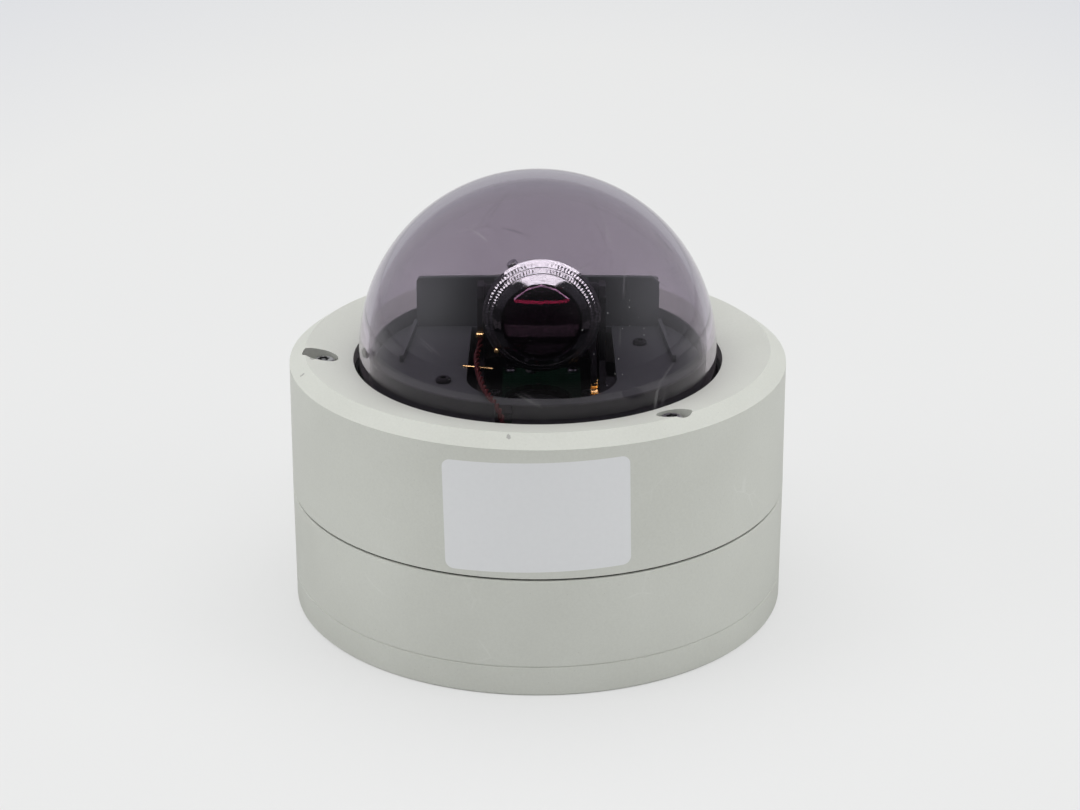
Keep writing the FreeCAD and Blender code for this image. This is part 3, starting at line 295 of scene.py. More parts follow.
def build_brushed():
    """Turned or drawn metal: fine lines round the Z axis of the part, as Tone and Height."""
    group, given, out = new_group("brushed", {"Scale": 3000.0}, ("Tone", "Height"))
    spot = add(group, "SeparateXYZ", Vector=add(group, "TexCoord").outputs["Object"])
    squares = [times(group, spot.outputs[i], spot.outputs[i]) for i in (0, 1)]
    radius = compute(group, "SQRT", compute(group, "ADD", *squares))
    stretched = add(group, "CombineXYZ", X=times(group, radius, given.outputs["Scale"]),
                    Y=times(group, spot.outputs[2], given.outputs["Scale"]))
    lines = add(group, "TexNoise", Vector=stretched.outputs[0], Scale=1.0, Detail=2.0).outputs["Fac"]
    group.links.new(lines, out.inputs["Tone"])
    group.links.new(lines, out.inputs["Height"])
    return group


class Finish:
    """One material: a Principled shader, its plain values and the nodes that feed it."""

    def __init__(self, name, **plain):
        self.material = bpy.data.materials.new(name)
        self.material.use_nodes = True
        self.tree = self.material.node_tree
        self.shader = self.tree.nodes["Principled BSDF"]
        for label, value in plain.items():
            self.shader.inputs[label.replace("_", " ")].default_value = value

    def feed(self, label, socket):
        self.tree.links.new(socket, self.shader.inputs[label])

    def bump(self, height, strength, distance):
        node = add(self.tree, "Bump", Strength=strength, Distance=distance, Height=height)
        self.feed("Normal", node.outputs[0])

    def use(self, group, **values):
        node = self.tree.nodes.new("ShaderNodeGroup")
        node.node_tree = group
        for label, value in values.items():
            node.inputs[label].default_value = value
        return node.outputs


def plain_finish(name, dark, light, rough, grain_scale, depth, strength=0.3, **plain):
    """A finish whose colour and roughness wander between two values over a fine grain."""
    finish = Finish(name, **plain)
    grain = finish.use(GRAIN, Scale=grain_scale)
    finish.feed("Base Color", mix_colour(finish.tree, grain["Tone"], dark + (1,), light + (1,)))
    finish.feed("Roughness", span(finish.tree, grain["Tone"], 0.2, 0.8, rough[0], rough[1]))
    finish.bump(grain["Height"], strength, depth)
    return finish


def metal_finish(name, dark, light, rough, scale, depth, strength=0.3, **plain):
    finish = Finish(name, Metallic=1.0, **plain)
    lines = finish.use(BRUSHED, Scale=scale)
    finish.feed("Base Color", mix_colour(finish.tree, lines["Tone"], dark + (1,), light + (1,)))
    finish.feed("Roughness", span(finish.tree, lines["Tone"], 0.3, 0.7, rough[0], rough[1]))
    finish.bump(lines["Height"], strength, depth)
    return finish


def body_paint(name, chips=()):
    """Powder coat, pale greenish grey, with chips where the edge was knocked."""
    finish = Finish(name)
    tree = finish.tree
    grain = finish.use(GRAIN, Scale=1300.0, Softness=0.6)
    scuffs = finish.use(SCUFFS, Scale=35.0, Amount=0.5)
    mottle = span(tree, grain["Tone"], 0.3, 0.7)
    colour = mix_colour(tree, mottle, (0.548, 0.559, 0.513, 1), (0.608, 0.621, 0.574, 1))
    colour = mix_colour(tree, times(tree, scuffs["Scratches"], 0.35), colour, (0.78, 0.79, 0.76, 1))
    colour = mix_colour(tree, times(tree, scuffs["Dust"], 0.6), colour, (0.30, 0.29, 0.27, 1))
    spot = add(tree, "TexCoord").outputs["Object"]
    plan = add(tree, "Mapping", Vector=spot, Scale=(1.0, 1.0, 0.0)).outputs[0]
    ragged = add(tree, "TexNoise", Vector=plan, Scale=1100.0, Detail=3.0).outputs["Fac"]
    for x, y, size in chips:
        away = distance_to(tree, plan, (x * MM, y * MM, 0.0))
        near = span(tree, away, 0.0, size * MM, 1.0, 0.0)
        chip = compute(tree, "GREATER_THAN", times(tree, near, ragged), 0.24)
        colour = mix_colour(tree, chip, colour, CHIP_COLOUR)
    finish.feed("Base Color", colour)
    finish.feed("Roughness", span(tree, grain["Tone"], 0.2, 0.8, 0.42, 0.62))
    finish.bump(grain["Height"], 0.35, 0.00012)
    return finish


def smoked_plastic():
    """Clear dome with a purple-grey tint; lamps reach what is under it."""
    finish = Finish("smoked_polycarbonate", Transmission_Weight=1.0, IOR=1.49,
                    Specular_Tint=(0.6, 0.6, 0.6, 1))
    tree = finish.tree
    scuffs = finish.use(SCUFFS, Scale=26.0, Amount=1.0)
    grain = finish.use(GRAIN, Scale=60.0)
    tint = mix_colour(tree, grain["Tone"], (0.528, 0.486, 0.542, 1), (0.553, 0.508, 0.566, 1))
    finish.feed("Base Color", tint)
    finish.feed("Roughness", times(tree, scuffs["Scratches"], 0.12, clamp=True))
    finish.bump(scuffs["Scratches"], 0.08, 0.00002)
    path = add(tree, "LightPath")
    passing = compute(tree, "MAXIMUM", path.outputs["Is Shadow Ray"], path.outputs["Is Diffuse Ray"])
    passing = compute(tree, "MAXIMUM", passing, compute(tree, "MINIMUM", path.outputs["Glossy Depth"], 1.0))
    spot = add(tree, "TexCoord").outputs["Object"]
    dusty = span(tree, distance_to(tree, spot, DUSTY_PLACE), 4.0 * MM, 16.0 * MM, 1.0, 0.12)
    specks = times(tree, scuffs["Dust"], dusty)
    film = compute(tree, "ADD", specks, times(tree, scuffs["Scratches"], 0.16), True)
    dust = add(tree, "BsdfDiffuse", Color=(0.62, 0.62, 0.62, 1))
    soiled = mix_shaders(tree, film, finish.shader, dust)
    clear = add(tree, "BsdfTransparent", Color=(0.715, 0.680, 0.725, 1))
    show(tree, mix_shaders(tree, passing, soiled, clear))
    return finish


def board_lacquer():
    """Green solder mask over copper tracks and round pads."""
    finish = Finish("solder_mask", Coat_Roughness=0.1)
    tree = finish.tree
    spot = add(tree, "TexCoord").outputs["Object"]
    tracks = add(tree, "TexBrick", Vector=spot, Scale=160.0, Mortar_Size=0.05).outputs["Fac"]
    pads = add(tree, "TexVoronoi", Vector=spot, Scale=350.0)
    draw = add(tree, "SeparateColor", Color=pads.outputs["Color"]).outputs[1]
    chosen = compute(tree, "GREATER_THAN", draw, 0.8)
    pad = times(tree, compute(tree, "LESS_THAN", pads.outputs["Distance"], 0.28), chosen)
    green = mix_colour(tree, tracks, (0.004, 0.026, 0.012, 1), (0.010, 0.050, 0.022, 1))
    finish.feed("Base Color", mix_colour(tree, pad, green, (0.20, 0.19, 0.16, 1)))
    finish.feed("Metallic", pad)
    finish.feed("Roughness", span(tree, tracks, 0.0, 1.0, 0.38, 0.30))
    finish.bump(tracks, 0.3, 0.00004)
    return finish


def lens_coating(name, tint):
    """Coated glass: nearly black through, with a coloured mirror image."""
    finish = Finish(name, Transmission_Weight=1.0, IOR=1.52, Specular_Tint=tint + (1,), Coat_Weight=0.6,
                    Coat_Roughness=0.04, Coat_IOR=1.5)
    tree = finish.tree
    grain = finish.use(GRAIN, Scale=80.0)
    finish.feed("Base Color", mix_colour(tree, grain["Tone"], (0.22, 0.20, 0.23, 1), (0.27, 0.25, 0.28, 1)))
    finish.feed("Roughness", span(tree, grain["Tone"], 0.3, 0.8, 0.03, 0.05))
    path = add(tree, "LightPath")
    clear = add(tree, "BsdfTransparent", Color=(0.55, 0.50, 0.56, 1))
    show(tree, mix_shaders(tree, path.outputs["Is Shadow Ray"], finish.shader, clear))
    return finish


def make_finishes():
    black = (0.006, 0.006, 0.007)
    soft_black = (0.020, 0.020, 0.022)
    return {
        "painted_body": body_paint("powder_coat"),
        "worn_cover": body_paint("powder_coat_worn", CHIPS),
        "painted_plug": body_paint("powder_coat_plug"),
        "dark_rubber": plain_finish("black_rubber", (0.012, 0.012, 0.012), (0.030, 0.030, 0.030), (0.75, 0.9),
                                    900.0, 0.00006),
        "steel_screws": metal_finish("zinc_plated_steel", (0.42, 0.42, 0.43), (0.68, 0.68, 0.69),
                                     (0.22, 0.40), 2500.0, 0.00002),
        "security_screws": metal_finish("stainless_steel", (0.36, 0.36, 0.36), (0.60, 0.60, 0.59),
                                        (0.25, 0.42), 2200.0, 0.00002),
        "nylon_washer": plain_finish("black_nylon", black, soft_black, (0.5, 0.65), 1200.0, 0.00003),
        "smoked_dome": smoked_plastic(),
        "black_steel": plain_finish("black_oxide_steel", (0.010, 0.010, 0.011), (0.028, 0.028, 0.030),
                                    (0.38, 0.55), 1500.0, 0.00003, Specular_IOR_Level=0.45),
        "chassis_metal": metal_finish("black_anodised_aluminium", (0.025, 0.025, 0.028),
                                      (0.060, 0.060, 0.064), (0.42, 0.58), 1800.0, 0.00002),
        "circuit_board": board_lacquer(),
        "terminal_plastic": plain_finish("green_terminal_plastic", (0.015, 0.16, 0.05), (0.03, 0.22, 0.08),
                                         (0.40, 0.50), 900.0, 0.00003),
        "motor_can": metal_finish("blackened_can", (0.06, 0.06, 0.065), (0.12, 0.12, 0.125), (0.35, 0.5),
                                  2000.0, 0.00002),
        "brass_parts": metal_finish("machined_brass", (0.60, 0.40, 0.14), (0.86, 0.62, 0.25), (0.16, 0.32),
                                    3000.0, 0.00002),
        "white_gear_plastic": plain_finish("natural_acetal", (0.62, 0.62, 0.58), (0.72, 0.72, 0.68),
                                           (0.40, 0.52), 700.0, 0.00003),
        "black_plastic": plain_finish("black_moulding", black, soft_black, (0.42, 0.58), 1400.0, 0.00003),
        "liner_plastic": plain_finish("textured_black_moulding", (0.094, 0.107, 0.102), (0.132, 0.151, 0.143),
                                      (0.55, 0.72), 1100.0, 0.00008),
        # the rim: the liner moulding made about half as bright, painted shade at the foot of the dome
        "rim_painted_shade": plain_finish("liner_moulding_painted_shade", (0.052, 0.058, 0.055), (0.074, 0.083, 0.079),
                                    (0.55, 0.72), 1100.0, 0.00008),
        "lens_black": plain_finish("gloss_black_moulding", (0.004, 0.004, 0.005), (0.012, 0.012, 0.013),
                                   (0.16, 0.28), 500.0, 0.00001, Specular_IOR_Level=0.6),
        "grip_black": plain_finish("gloss_black_grip", (0.004, 0.004, 0.005), (0.010, 0.010, 0.011),
                                   (0.08, 0.12), 500.0, 0.000004, Specular_IOR_Level=1.0),
        "knurled_steel": metal_finish("polished_steel", (0.50, 0.50, 0.50), (0.75, 0.75, 0.75), (0.12, 0.25),
                                      3000.0, 0.00001),
        "lens_glass": lens_coating("coated_glass", (1.0, 0.45, 0.75)),
        "label_paper": plain_finish("label_paper", (0.69, 0.70, 0.71), (0.75, 0.76, 0.77), (0.42, 0.55),
                                    700.0, 0.00003, 0.15),
        "sensor_face": plain_finish("sensor_window", (0.010, 0.012, 0.022), (0.020, 0.026, 0.040),
                                    (0.04, 0.10), 300.0, 0.00001),
        "red_wire": plain_finish("red_insulation", (0.085, 0.012, 0.012), (0.17, 0.030, 0.027), (0.40, 0.55),
                                 1500.0, 0.00003),
    }


def dress_solids():
    for part in frame["record"]["subparts"]:
        mesh = nodes[part["node"]].data
        mesh.materials.clear()
        slot = "worn_cover" if part["node"] == "top_cover" else part["material_slot"]
        mesh.materials.append(finishes[slot].material)


# ==== shaping by hand ====
def clear_selection():
    bpy.ops.object.select_all(action="DESELECT")


def pick(piece):
    """Selects the piece alone and makes it the active one."""
    clear_selection()
    piece.select_set(True)
    bpy.context.view_layer.objects.active = piece


def choose(kind, test):
    """Selects the vertices, edges or faces of the mesh in edit mode whose middle passes the test."""
    mesh = bmesh.from_edit_mesh(bpy.context.object.data)
    bpy.ops.mesh.select_mode(type=kind)
    bpy.ops.mesh.select_all(action="DESELECT")
    items = {"VERT": mesh.verts, "EDGE": mesh.edges, "FACE": mesh.faces}[kind]
    for item in items:
        if kind == "VERT":
            middle = item.co
        elif kind == "EDGE":
            middle = (item.verts[0].co + item.verts[1].co) / 2
        else:
            middle = item.calc_center_median()
        if test(middle, item):
            item.select_set(True)
    bmesh.update_edit_mesh(bpy.context.object.data)


def edit():
    bpy.ops.object.mode_set(mode="EDIT")


def leave():
    bpy.ops.object.mode_set(mode="OBJECT")


def settle(piece):
    """The piece's place, turn and size go into its mesh."""
    pick(piece)
    bpy.ops.object.transform_apply(location=True, rotation=True, scale=True)


def smooth(piece, angle=30.0):
    pick(piece)
    bpy.ops.object.shade_smooth_by_angle(angle=radians(angle))


def outward(piece):
    pick(piece)
    edit()
    bpy.ops.mesh.select_all(action="SELECT")
    bpy.ops.mesh.remove_doubles(threshold=0.000002)
    bpy.ops.mesh.normals_make_consistent(inside=False)
    leave()


def apply_all(piece):
    pick(piece)
    for modifier in list(piece.modifiers):
        bpy.ops.object.modifier_apply(modifier=modifier.name)


def done(piece, name, body, slot, *replaced, finish=None):
    """Names the piece and gives it its finish, the nodes it replaces, its slot and its body."""
    piece.name = name
    piece.data.name = name
    piece.data.materials.clear()
    piece.data.materials.append(finishes[finish or slot].material)
    if replaced:
        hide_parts(*replaced)
    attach(piece, body)
    return piece


def copy_piece(piece):
    twin = piece.copy()
    twin.data = piece.data.copy()
    bpy.context.scene.collection.objects.link(twin)
    return twin


def join(pieces):
    clear_selection()
    for piece in pieces:
        piece.select_set(True)
    bpy.context.view_layer.objects.active = pieces[0]
    bpy.ops.object.join()
    return pieces[0]


def turned(profile, steps, centre=(0.0, 0.0, 0.0), axis=(0.0, 0.0, 1.0)):
    """A closed profile of (radius, height) points about the Z axis, spun round it."""
    clear_selection()
    bpy.ops.mesh.primitive_circle_add(vertices=len(profile), radius=0.01)
    piece = bpy.context.object
    edit()
    mesh = bmesh.from_edit_mesh(piece.data)
    mesh.verts.ensure_lookup_table()
    for vertex, (radius, height) in zip(mesh.verts, profile):
        vertex.co = (radius, 0.0, height)
    bmesh.update_edit_mesh(piece.data)
    bpy.ops.mesh.select_all(action="SELECT")
    bpy.ops.mesh.spin(steps=steps, angle=2 * pi, center=(0, 0, 0), axis=(0, 0, 1), use_auto_merge=True)
    bpy.ops.mesh.select_all(action="SELECT")
    bpy.ops.mesh.remove_doubles(threshold=0.000002)
    bpy.ops.mesh.normals_make_consistent(inside=False)
    leave()
    turn = Vector((0, 0, 1)).rotation_difference(Vector(axis))
    piece.matrix_world = Matrix.Translation(centre) @ turn.to_matrix().to_4x4()
    settle(piece)
    return piece


# ==== dome ====
def make_dome():
    low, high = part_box("dome_bubble")
    radius = 57.4 * MM
    wall = 3.0 * MM
    flange_height = 2.7 * MM
    centre = high.z - radius
    flange_top = low.z + flange_height
    clear_selection()
    bpy.ops.mesh.primitive_uv_sphere_add(segments=144, ring_count=96, radius=radius, location=(0, 0, centre))
    dome = bpy.context.object
    settle(dome)
    edit()
    bpy.ops.mesh.select_all(action="SELECT")
    bpy.ops.mesh.bisect(plane_co=(0, 0, centre), plane_no=(0, 0, 1), clear_inner=True)
    choose("EDGE", lambda middle, edge: edge.is_boundary)
    bpy.ops.mesh.extrude_edges_move(TRANSFORM_OT_translate={"value": (0, 0, flange_top - centre)})
    bpy.ops.mesh.extrude_edges_move(TRANSFORM_OT_translate={"value": (0, 0, 0)})
    flange = high.x / radius
    bpy.ops.transform.resize(value=(flange, flange, 1), center_override=(0, 0, flange_top))
    leave()
    shell = dome.modifiers.new("wall", "SOLIDIFY")
    shell.thickness = wall
    shell.offset = -1
    shell.use_even_offset = True
    apply_all(dome)
    edit()
    choose("VERT", lambda spot, vertex: spot.z < low.z - 0.1 * MM)
    bpy.ops.transform.translate(value=(0, 0, wall - flange_height))
    leave()
    outward(dome)
    smooth(dome, 35)
    return done(dome, "dome_shell", "camera_body", "smoked_dome", "dome_bubble")


# ==== cover: label and screws ====
def make_label():
    """Blank white label, wrapped round the front of the cover."""
    width, height, corner, thickness = 55.6 * MM, 35.2 * MM, 2.5 * MM, 0.08 * MM
    low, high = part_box("top_cover")
    seam, side = low.z, high.x
    middle = seam + 20.0 * MM
    before_cover = -0.12
    clear_selection()
    bpy.ops.mesh.primitive_plane_add(size=1.0, location=(-0.2 * MM, before_cover, middle),
                                     rotation=(radians(90), 0, 0))
    label = bpy.context.object
    label.scale = (width, height, 1)
    settle(label)
    edit()
    choose("VERT", lambda spot, vertex: True)
    bpy.ops.mesh.bevel(offset=corner, segments=6, affect="VERTICES")
    bpy.ops.transform.rotate(value=radians(1.2), orient_axis="Y", center_override=(0, before_cover, middle))
    for i in range(-34, 35):
        bpy.ops.mesh.select_all(action="SELECT")
        bpy.ops.mesh.bisect(plane_co=(i * 0.82 * MM, 0, 0), plane_no=(1, 0, 0))
    leave()
    slope = 0.4 / 41.4
    reach = 50 * MM
    foot = side + 0.015 * MM
    clear_selection()
    bpy.ops.mesh.primitive_cone_add(vertices=900, radius1=foot, radius2=foot - slope * reach, depth=reach,
                                    location=(0, 0, seam + reach / 2))
    form = bpy.context.object
    wrap = label.modifiers.new("wrap", "SHRINKWRAP")
    wrap.target = form
    wrap.wrap_method = "PROJECT"
    wrap.use_project_y = True
    wrap.use_positive_direction = True
    wrap.use_negative_direction = True
    apply_all(label)
    bpy.data.objects.remove(form)
    paper = label.modifiers.new("paper", "SOLIDIFY")
    paper.thickness = thickness
    paper.offset = -1
    apply_all(label)
    outward(label)
    smooth(label, 35)
    return done(label, "cover_label", "camera_body", "painted_body", finish="label_paper")


def make_cover_screws():
    """Button-head security screws with a six-lobed socket and a centre pin."""
    low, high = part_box("cover_screws")
    head, rise, shank = 3.8 * MM, 2.2 * MM, 2.0 * MM
    seat = high.z - rise
    clear_selection()
    bpy.ops.mesh.primitive_cylinder_add(vertices=72, radius=head, depth=rise, location=(0, 0, rise / 2))
    screw = bpy.context.object
    settle(screw)
    edit()
    choose("EDGE", lambda middle, edge: middle.z > rise - 0.01 * MM and len(edge.link_faces) == 2)
    bpy.ops.mesh.bevel(offset=1.5 * MM, segments=7, profile=0.5, clamp_overlap=True)
    choose("FACE", lambda middle, face: middle.z > rise - 0.01 * MM and face.normal.z > 0.9)
    bpy.ops.mesh.inset(thickness=0.35 * MM)
    mesh = bmesh.from_edit_mesh(screw.data)
    for face in mesh.faces:
        if face.select:
            for vertex in face.verts:
                angle = atan2(vertex.co.y, vertex.co.x)
                radius = (1.72 + 0.26 * cos(6 * angle)) * MM
                vertex.co.x, vertex.co.y = radius * cos(angle), radius * sin(angle)
    bmesh.update_edit_mesh(screw.data)
    bpy.ops.mesh.extrude_region_move(TRANSFORM_OT_translate={"value": (0, 0, -1.3 * MM)})
    bpy.ops.mesh.inset(thickness=0.72 * MM)
    bpy.ops.mesh.extrude_region_move(TRANSFORM_OT_translate={"value": (0, 0, 1.0 * MM)})
    choose("FACE", lambda middle, face: middle.z < 0.01 * MM and face.normal.z < -0.9)
    bpy.ops.mesh.inset(thickness=head - shank)
    bpy.ops.mesh.extrude_region_move(TRANSFORM_OT_translate={"value": (0, 0, low.z - seat)})
    leave()
    outward(screw)
    smooth(screw, 32)
    screws = []
    circle = 68.7 * MM
    places_and_turns = ((-174.4, 12), (-54.0, 37), (66.0, 25))
    for angle, turn in places_and_turns:
        twin = copy_piece(screw)
        twin.rotation_euler = (0, 0, radians(turn))
        twin.location = (circle * cos(radians(angle)), circle * sin(radians(angle)), seat)
        settle(twin)
        screws.append(twin)
    bpy.data.objects.remove(screw)
    return done(join(screws), "cover_security_screws", "camera_body", "security_screws", "cover_screws")


# ==== lens rings, glass and brass parts ====
def lens_turned(profile, steps):
    """A ring about the optical axis; heights are distances in front of the tilt axis."""
    return turned([(r * MM, h * MM) for r, h in profile], steps, (LENS_X, 0, LENS_Z), (0, -1, 0))


def knurl(ring, bands, ribs, depth):
    """Ribs pressed into the ring in bands, each between two distances in front of the tilt axis."""
    bore = 13.5 * MM
    edit()
    mesh = bmesh.from_edit_mesh(ring.data)
    for vertex in mesh.verts:
        x, z, ahead = vertex.co.x - LENS_X, vertex.co.z - LENS_Z, -vertex.co.y / MM
        radius = hypot(x, z)
        for inner, outer in bands:
            if inner < ahead < outer and radius > bore:
                edge = min(1.0, 6.0 * min(ahead - inner, outer - ahead) / (outer - inner))
                sunk = radius - depth * MM * edge * (0.5 + 0.5 * cos(atan2(z, x) * ribs))
                vertex.co.x, vertex.co.z = LENS_X + x * sunk / radius, LENS_Z + z * sunk / radius
    bmesh.update_edit_mesh(ring.data)
    leave()


def make_focus_ring():
    """Grip ring that tapers to the front; its slope has two knurled bands between grooves."""
    radius, bezel, start, end, shoulder = 18.1, 12.4, 20.8, 31.6, 5.9
    steps, bulge, groove = 48, 0.35, 0.25
    slope = atan2(radius - bezel, shoulder)
    front = []
    for i in range(steps + 1):
        along = i / steps
        out = bulge * sin(pi * along)
        if 0.34 < along < 0.40 or 0.60 < along < 0.66:
            out -= groove
        front.append((radius - (radius - bezel) * along + out * cos(slope) * 0.9,
                      end - shoulder * (1 - along) + out * sin(slope) * 0.9))
    body = [(radius - 1.9, start), (radius - 1.6, start + 0.3), (radius - 1.6, start + 2.2),
            (radius - 1.3, end - shoulder - 1.9), (radius - 0.2, end - shoulder - 0.7)]
    inside = [(12.2, 31.2), (12.2, 27.0), (10.6, 27.0), (10.6, 24.8), (12.55, 24.8), (12.55, start)]
    ring = lens_turned(body + front + inside, 440)
    knurl(ring, ((end - 4.95, end - 3.85), (end - 3.35, end - 2.25)), 100, 0.30)
    outward(ring)
    smooth(ring, 30)
    return done(ring, "focus_grip", "focus_group", "lens_black", "focus_ring", "lens_bezel",
                finish="grip_black")


def make_zoom_ring():
    ring = lens_turned([(12.55, 13.0), (13.4, 13.0), (13.8, 13.2), (14.0, 13.7), (14.0, 14.6), (14.0, 15.6),
                        (14.0, 16.8), (14.0, 18.0), (14.0, 19.0), (14.0, 19.8), (13.8, 20.3), (13.4, 20.5),
                        (12.55, 20.5)], 360)
    knurl(ring, ((14.2, 19.6),), 90, 0.2)
    outward(ring)
    smooth(ring, 30)
    return done(ring, "zoom_grip", "zoom_group", "lens_black", "zoom_ring", finish="grip_black")


def make_lens():
    focus_grip = make_focus_ring()
    zoom_grip = make_zoom_ring()
    steps, radius, back, front_middle, sag = 18, 12.0, 27.0, 31.5, 1.5
    front = [(radius * i / steps, front_middle - sag * (i / steps) ** 2) for i in range(steps, -1, -1)]
    glass = lens_turned([(0.0, back), (radius, back)] + front, 128)
    smooth(glass, 25)
    glass = done(glass, "front_glass", "focus_group", "lens_glass", "front_element")
    metal = (nodes["tilt_pinion"], make_stop_ball(), *make_wire_brass())
    band_lamp = soft_lamp("band_lamp", (0.0, 0.40, 0.72), (0.0, 0.395, 0.0), 1.75, 1.75, 300.0,
                          only=(zoom_grip, focus_grip), shape="DISK")
    band_lamp.data.color = (0.92, 1.0, 0.90)
    soft_lamp("brass_lamp", (0.0, 0.0, 0.72), (0.0, 0.0, 0.0), 1.0, 1.0, 40.0, only=metal)
    for side in (-1, 1):
        soft_lamp("arch_lamp", (side * 0.225, -0.835, 0.125), SPOT_IN_LENS, 0.19, 0.012, 0.10,
                  only=(glass,), roll=-38 * side)
        soft_lamp("arch_top_lamp", (side * 0.075, -0.862, 0.208), SPOT_IN_LENS, 0.17, 0.012, 0.09,
                  only=(glass,), roll=-16 * side)
    coat_lamp = soft_lamp("coating_lamp", (0.0, -0.84, 0.05), SPOT_IN_LENS, 0.60, 0.035, 0.42, only=(glass,))
    coat_lamp.data.color = (1.0, 0.10, 0.22)


def make_stop_ball():
    """Small brass ball let into the front slope of the focus ring, at the lower left."""
    clear_selection()
    out, ahead = 17.05, 28.6
    turn = radians(-126.6)
    bpy.ops.mesh.primitive_uv_sphere_add(segments=40, ring_count=24, radius=0.9 * MM,
                                         location=(LENS_X + out * sin(turn) * MM, -ahead * MM,
                                                   LENS_Z + out * cos(turn) * MM))
    ball = bpy.context.object
    settle(ball)
    smooth(ball, 60)
    return done(ball, "stop_ball", "focus_group", "brass_parts")


def make_wire_brass():
    """Round-edged brass terminal on the cheek, and the round-edged brass strip that guides the wires."""
    low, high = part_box("wire_terminal")
    clear_selection()
    bpy.ops.mesh.primitive_cube_add(size=1.0, location=(low + high) / 2)
    terminal = bpy.context.object
    terminal.scale = high - low
    settle(terminal)
    edit()
    choose("EDGE", lambda middle, edge: True)
    bpy.ops.mesh.bevel(offset=0.55 * MM, segments=5, profile=0.5, affect="EDGES")
    leave()
    smooth(terminal, 40)
    done(terminal, "wire_clip", "pan_unit", "brass_parts", "wire_terminal")
    low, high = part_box("wire_guide")
    outline = ((-24.0, -9.2), (-14.2, -11.7), (-13.9, -10.6), (-23.7, -8.1))
    clear_selection()
    bpy.ops.mesh.primitive_plane_add(size=1.0, location=(0, 0, 0))
    strip = bpy.context.object
    edit()
    mesh = bmesh.from_edit_mesh(strip.data)
    mesh.verts.ensure_lookup_table()
    for vertex, corner in zip((mesh.verts[i] for i in (0, 1, 3, 2)), outline):
        vertex.co = (corner[0] * MM, corner[1] * MM, low.z)
    bmesh.update_edit_mesh(strip.data)
    bpy.ops.mesh.select_all(action="SELECT")
    bpy.ops.mesh.extrude_region_move(TRANSFORM_OT_translate={"value": (0, 0, high.z - low.z)})
    choose("EDGE", lambda middle, edge: middle.z > high.z - 0.01 * MM)
    bpy.ops.mesh.bevel(offset=0.24 * MM, segments=5, profile=0.5, affect="EDGES")
    leave()
    outward(strip)
    smooth(strip, 40)
    done(strip, "wire_strip", "pan_unit", "brass_parts", "wire_guide")
    return terminal, strip


def make_liner_rim():
    """Low wall round the floor of the liner, open where the wires pass; its finish is a darker copy of the
    liner moulding, painted shade at the foot of the dome.
    """
    low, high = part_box("liner")
    radius, floor = high.x, low.z + LINER_FLOOR
    top = floor + 5.0 * MM
    inner, edge = radius - 0.9 * MM, 0.2 * MM
    rim = turned([(inner, floor), (radius, floor), (radius, top - edge), (radius - edge, top),
                  (radius - 0.7 * MM, top), (inner, top - edge)], 240)
    edit()
    for side in WIRE_GAP:
        bpy.ops.mesh.select_all(action="SELECT")
        bpy.ops.mesh.bisect(plane_co=(side, 0, 0), plane_no=(1, 0, 0))
    choose("FACE", lambda middle, face: WIRE_GAP[0] < middle.x < WIRE_GAP[1] and middle.y < 0)
    bpy.ops.mesh.delete(type="FACE")
    choose("EDGE", lambda middle, edge: edge.is_boundary)
    bpy.ops.mesh.edge_face_add()
    leave()
    outward(rim)
    smooth(rim, 35)
    return done(rim, "liner_rim", "pan_unit", "liner_plastic", finish="rim_painted_shade")


def make_wire_pad():
    """Thin rubber pad that keeps the wires off the edge of the liner."""
    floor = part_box("liner")[0].z + LINER_FLOOR
    thickness = 0.3 * MM
    clear_selection()
    bpy.ops.mesh.primitive_cube_add(size=1.0, location=(-10.2 * MM, -44.8 * MM, floor + thickness / 2))
    pad = bpy.context.object
    pad.scale = (5.2 * MM, 6.8 * MM, thickness)
    settle(pad)
    edit()
    choose("EDGE", lambda middle, edge: middle.z > floor + thickness - 0.01 * MM)
    bpy.ops.mesh.bevel(offset=0.12 * MM, segments=3, profile=0.5, affect="EDGES")
    leave()
    smooth(pad, 40)
    return done(pad, "wire_pad", "pan_unit", "dark_rubber")


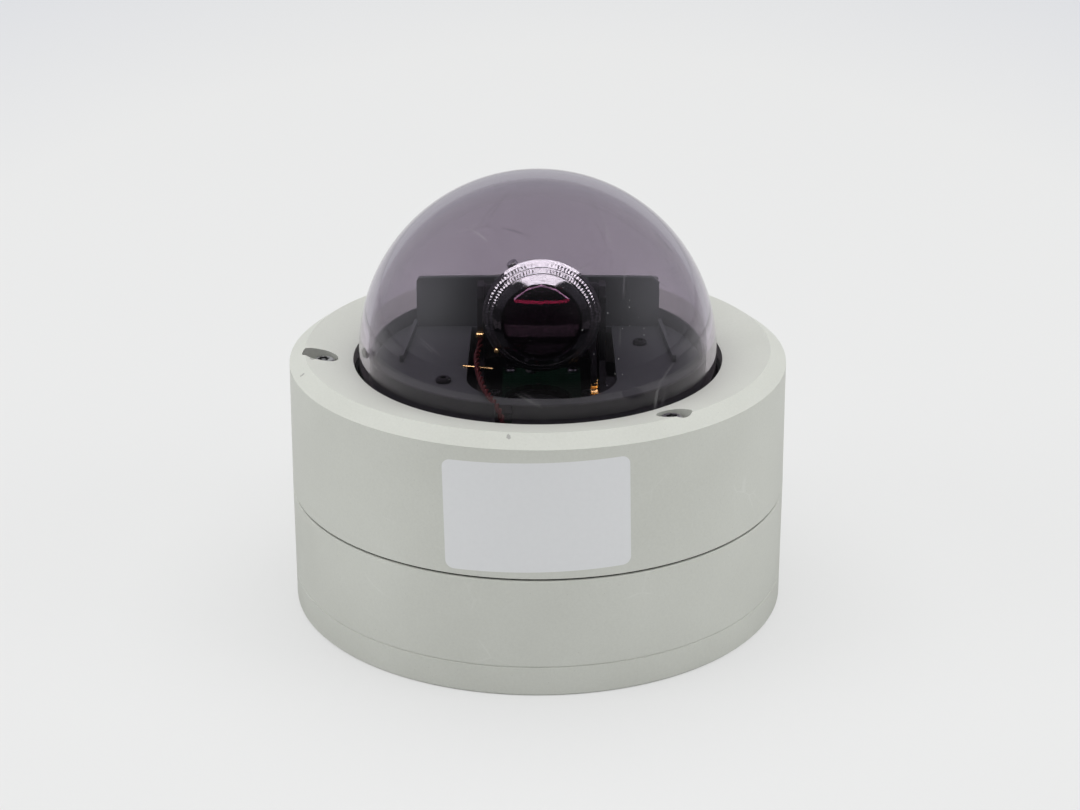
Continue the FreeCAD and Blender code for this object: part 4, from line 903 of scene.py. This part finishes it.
# ==== twisted wire pair ====
def make_wires():
    """Two insulated wires twisted round each other along the route of their solids."""
    route = [(-18.2, -8.8, 89.8), (-18.2, -8.8, 86.9), (-19.4, -16.0, 86.0), (-18.4, -25.0, 84.0),
             (-16.4, -34.0, 82.0), (-10.4, -50.6, 81.4), (-10.2, -51.4, 70.0), (-0.5, -23.4, 68.5)]
    middle = route_points(route)
    radius, lay = 0.5 * MM, 5.2 * MM
    turns = []
    length = 0.0
    side = Vector((1, 0, 0))
    for i, point in enumerate(middle):
        ahead = (middle[min(i + 1, len(middle) - 1)] - middle[max(i - 1, 0)]).normalized()
        side = (side - ahead * side.dot(ahead)).normalized()
        if i:
            length += (point - middle[i - 1]).length
        turns.append((point, side.copy(), ahead.cross(side), length))
    strands = []
    for start in (0.0, pi):
        path = []
        for point, across, over, along in turns:
            angle = start + 2 * pi * along / lay
            path.append(point + (across * cos(angle) + over * sin(angle)) * radius * 1.02)
        strands.append(tube(path, radius))
    return done(join(strands), "iris_wire_pair", "pan_unit", "red_wire", "iris_wires")


def route_points(route):
    """Points along the smooth line that the route's corners shape."""
    curve = bpy.data.curves.new("route", "CURVE")
    curve.dimensions = "3D"
    curve.resolution_u = 24
    line = curve.splines.new("NURBS")
    line.points.add(len(route) - 1)
    for point, spot in zip(line.points, route):
        point.co = (spot[0] * MM, spot[1] * MM, spot[2] * MM, 1)
    line.order_u = 3
    line.use_endpoint_u = True
    holder = bpy.data.objects.new("route", curve)
    mesh = bpy.data.meshes.new_from_object(holder)
    points = [vertex.co.copy() for vertex in mesh.vertices]
    bpy.data.objects.remove(holder)
    bpy.data.curves.remove(curve)
    bpy.data.meshes.remove(mesh)
    return points


def tube(path, radius):
    """Round tube with closed ends along a path."""
    curve = bpy.data.curves.new("strand", "CURVE")
    curve.dimensions = "3D"
    curve.bevel_depth = radius
    curve.bevel_resolution = 3
    curve.use_fill_caps = True
    line = curve.splines.new("POLY")
    line.points.add(len(path) - 1)
    for point, spot in zip(line.points, path):
        point.co = (spot.x, spot.y, spot.z, 1)
    holder = bpy.data.objects.new("strand", curve)
    bpy.context.scene.collection.objects.link(holder)
    pick(holder)
    bpy.ops.object.convert(target="MESH")
    strand = bpy.context.object
    outward(strand)
    smooth(strand, 60)
    return strand


# ==== making ====
set_view()
GRAIN, SCUFFS, BRUSHED = build_grain(), build_scuffs(), build_brushed()
finishes = make_finishes()
light_room()
lay_floor()
dress_solids()
make_dome()
make_label()
make_cover_screws()
make_lens()
make_liner_rim()
make_wire_pad()
make_wires()
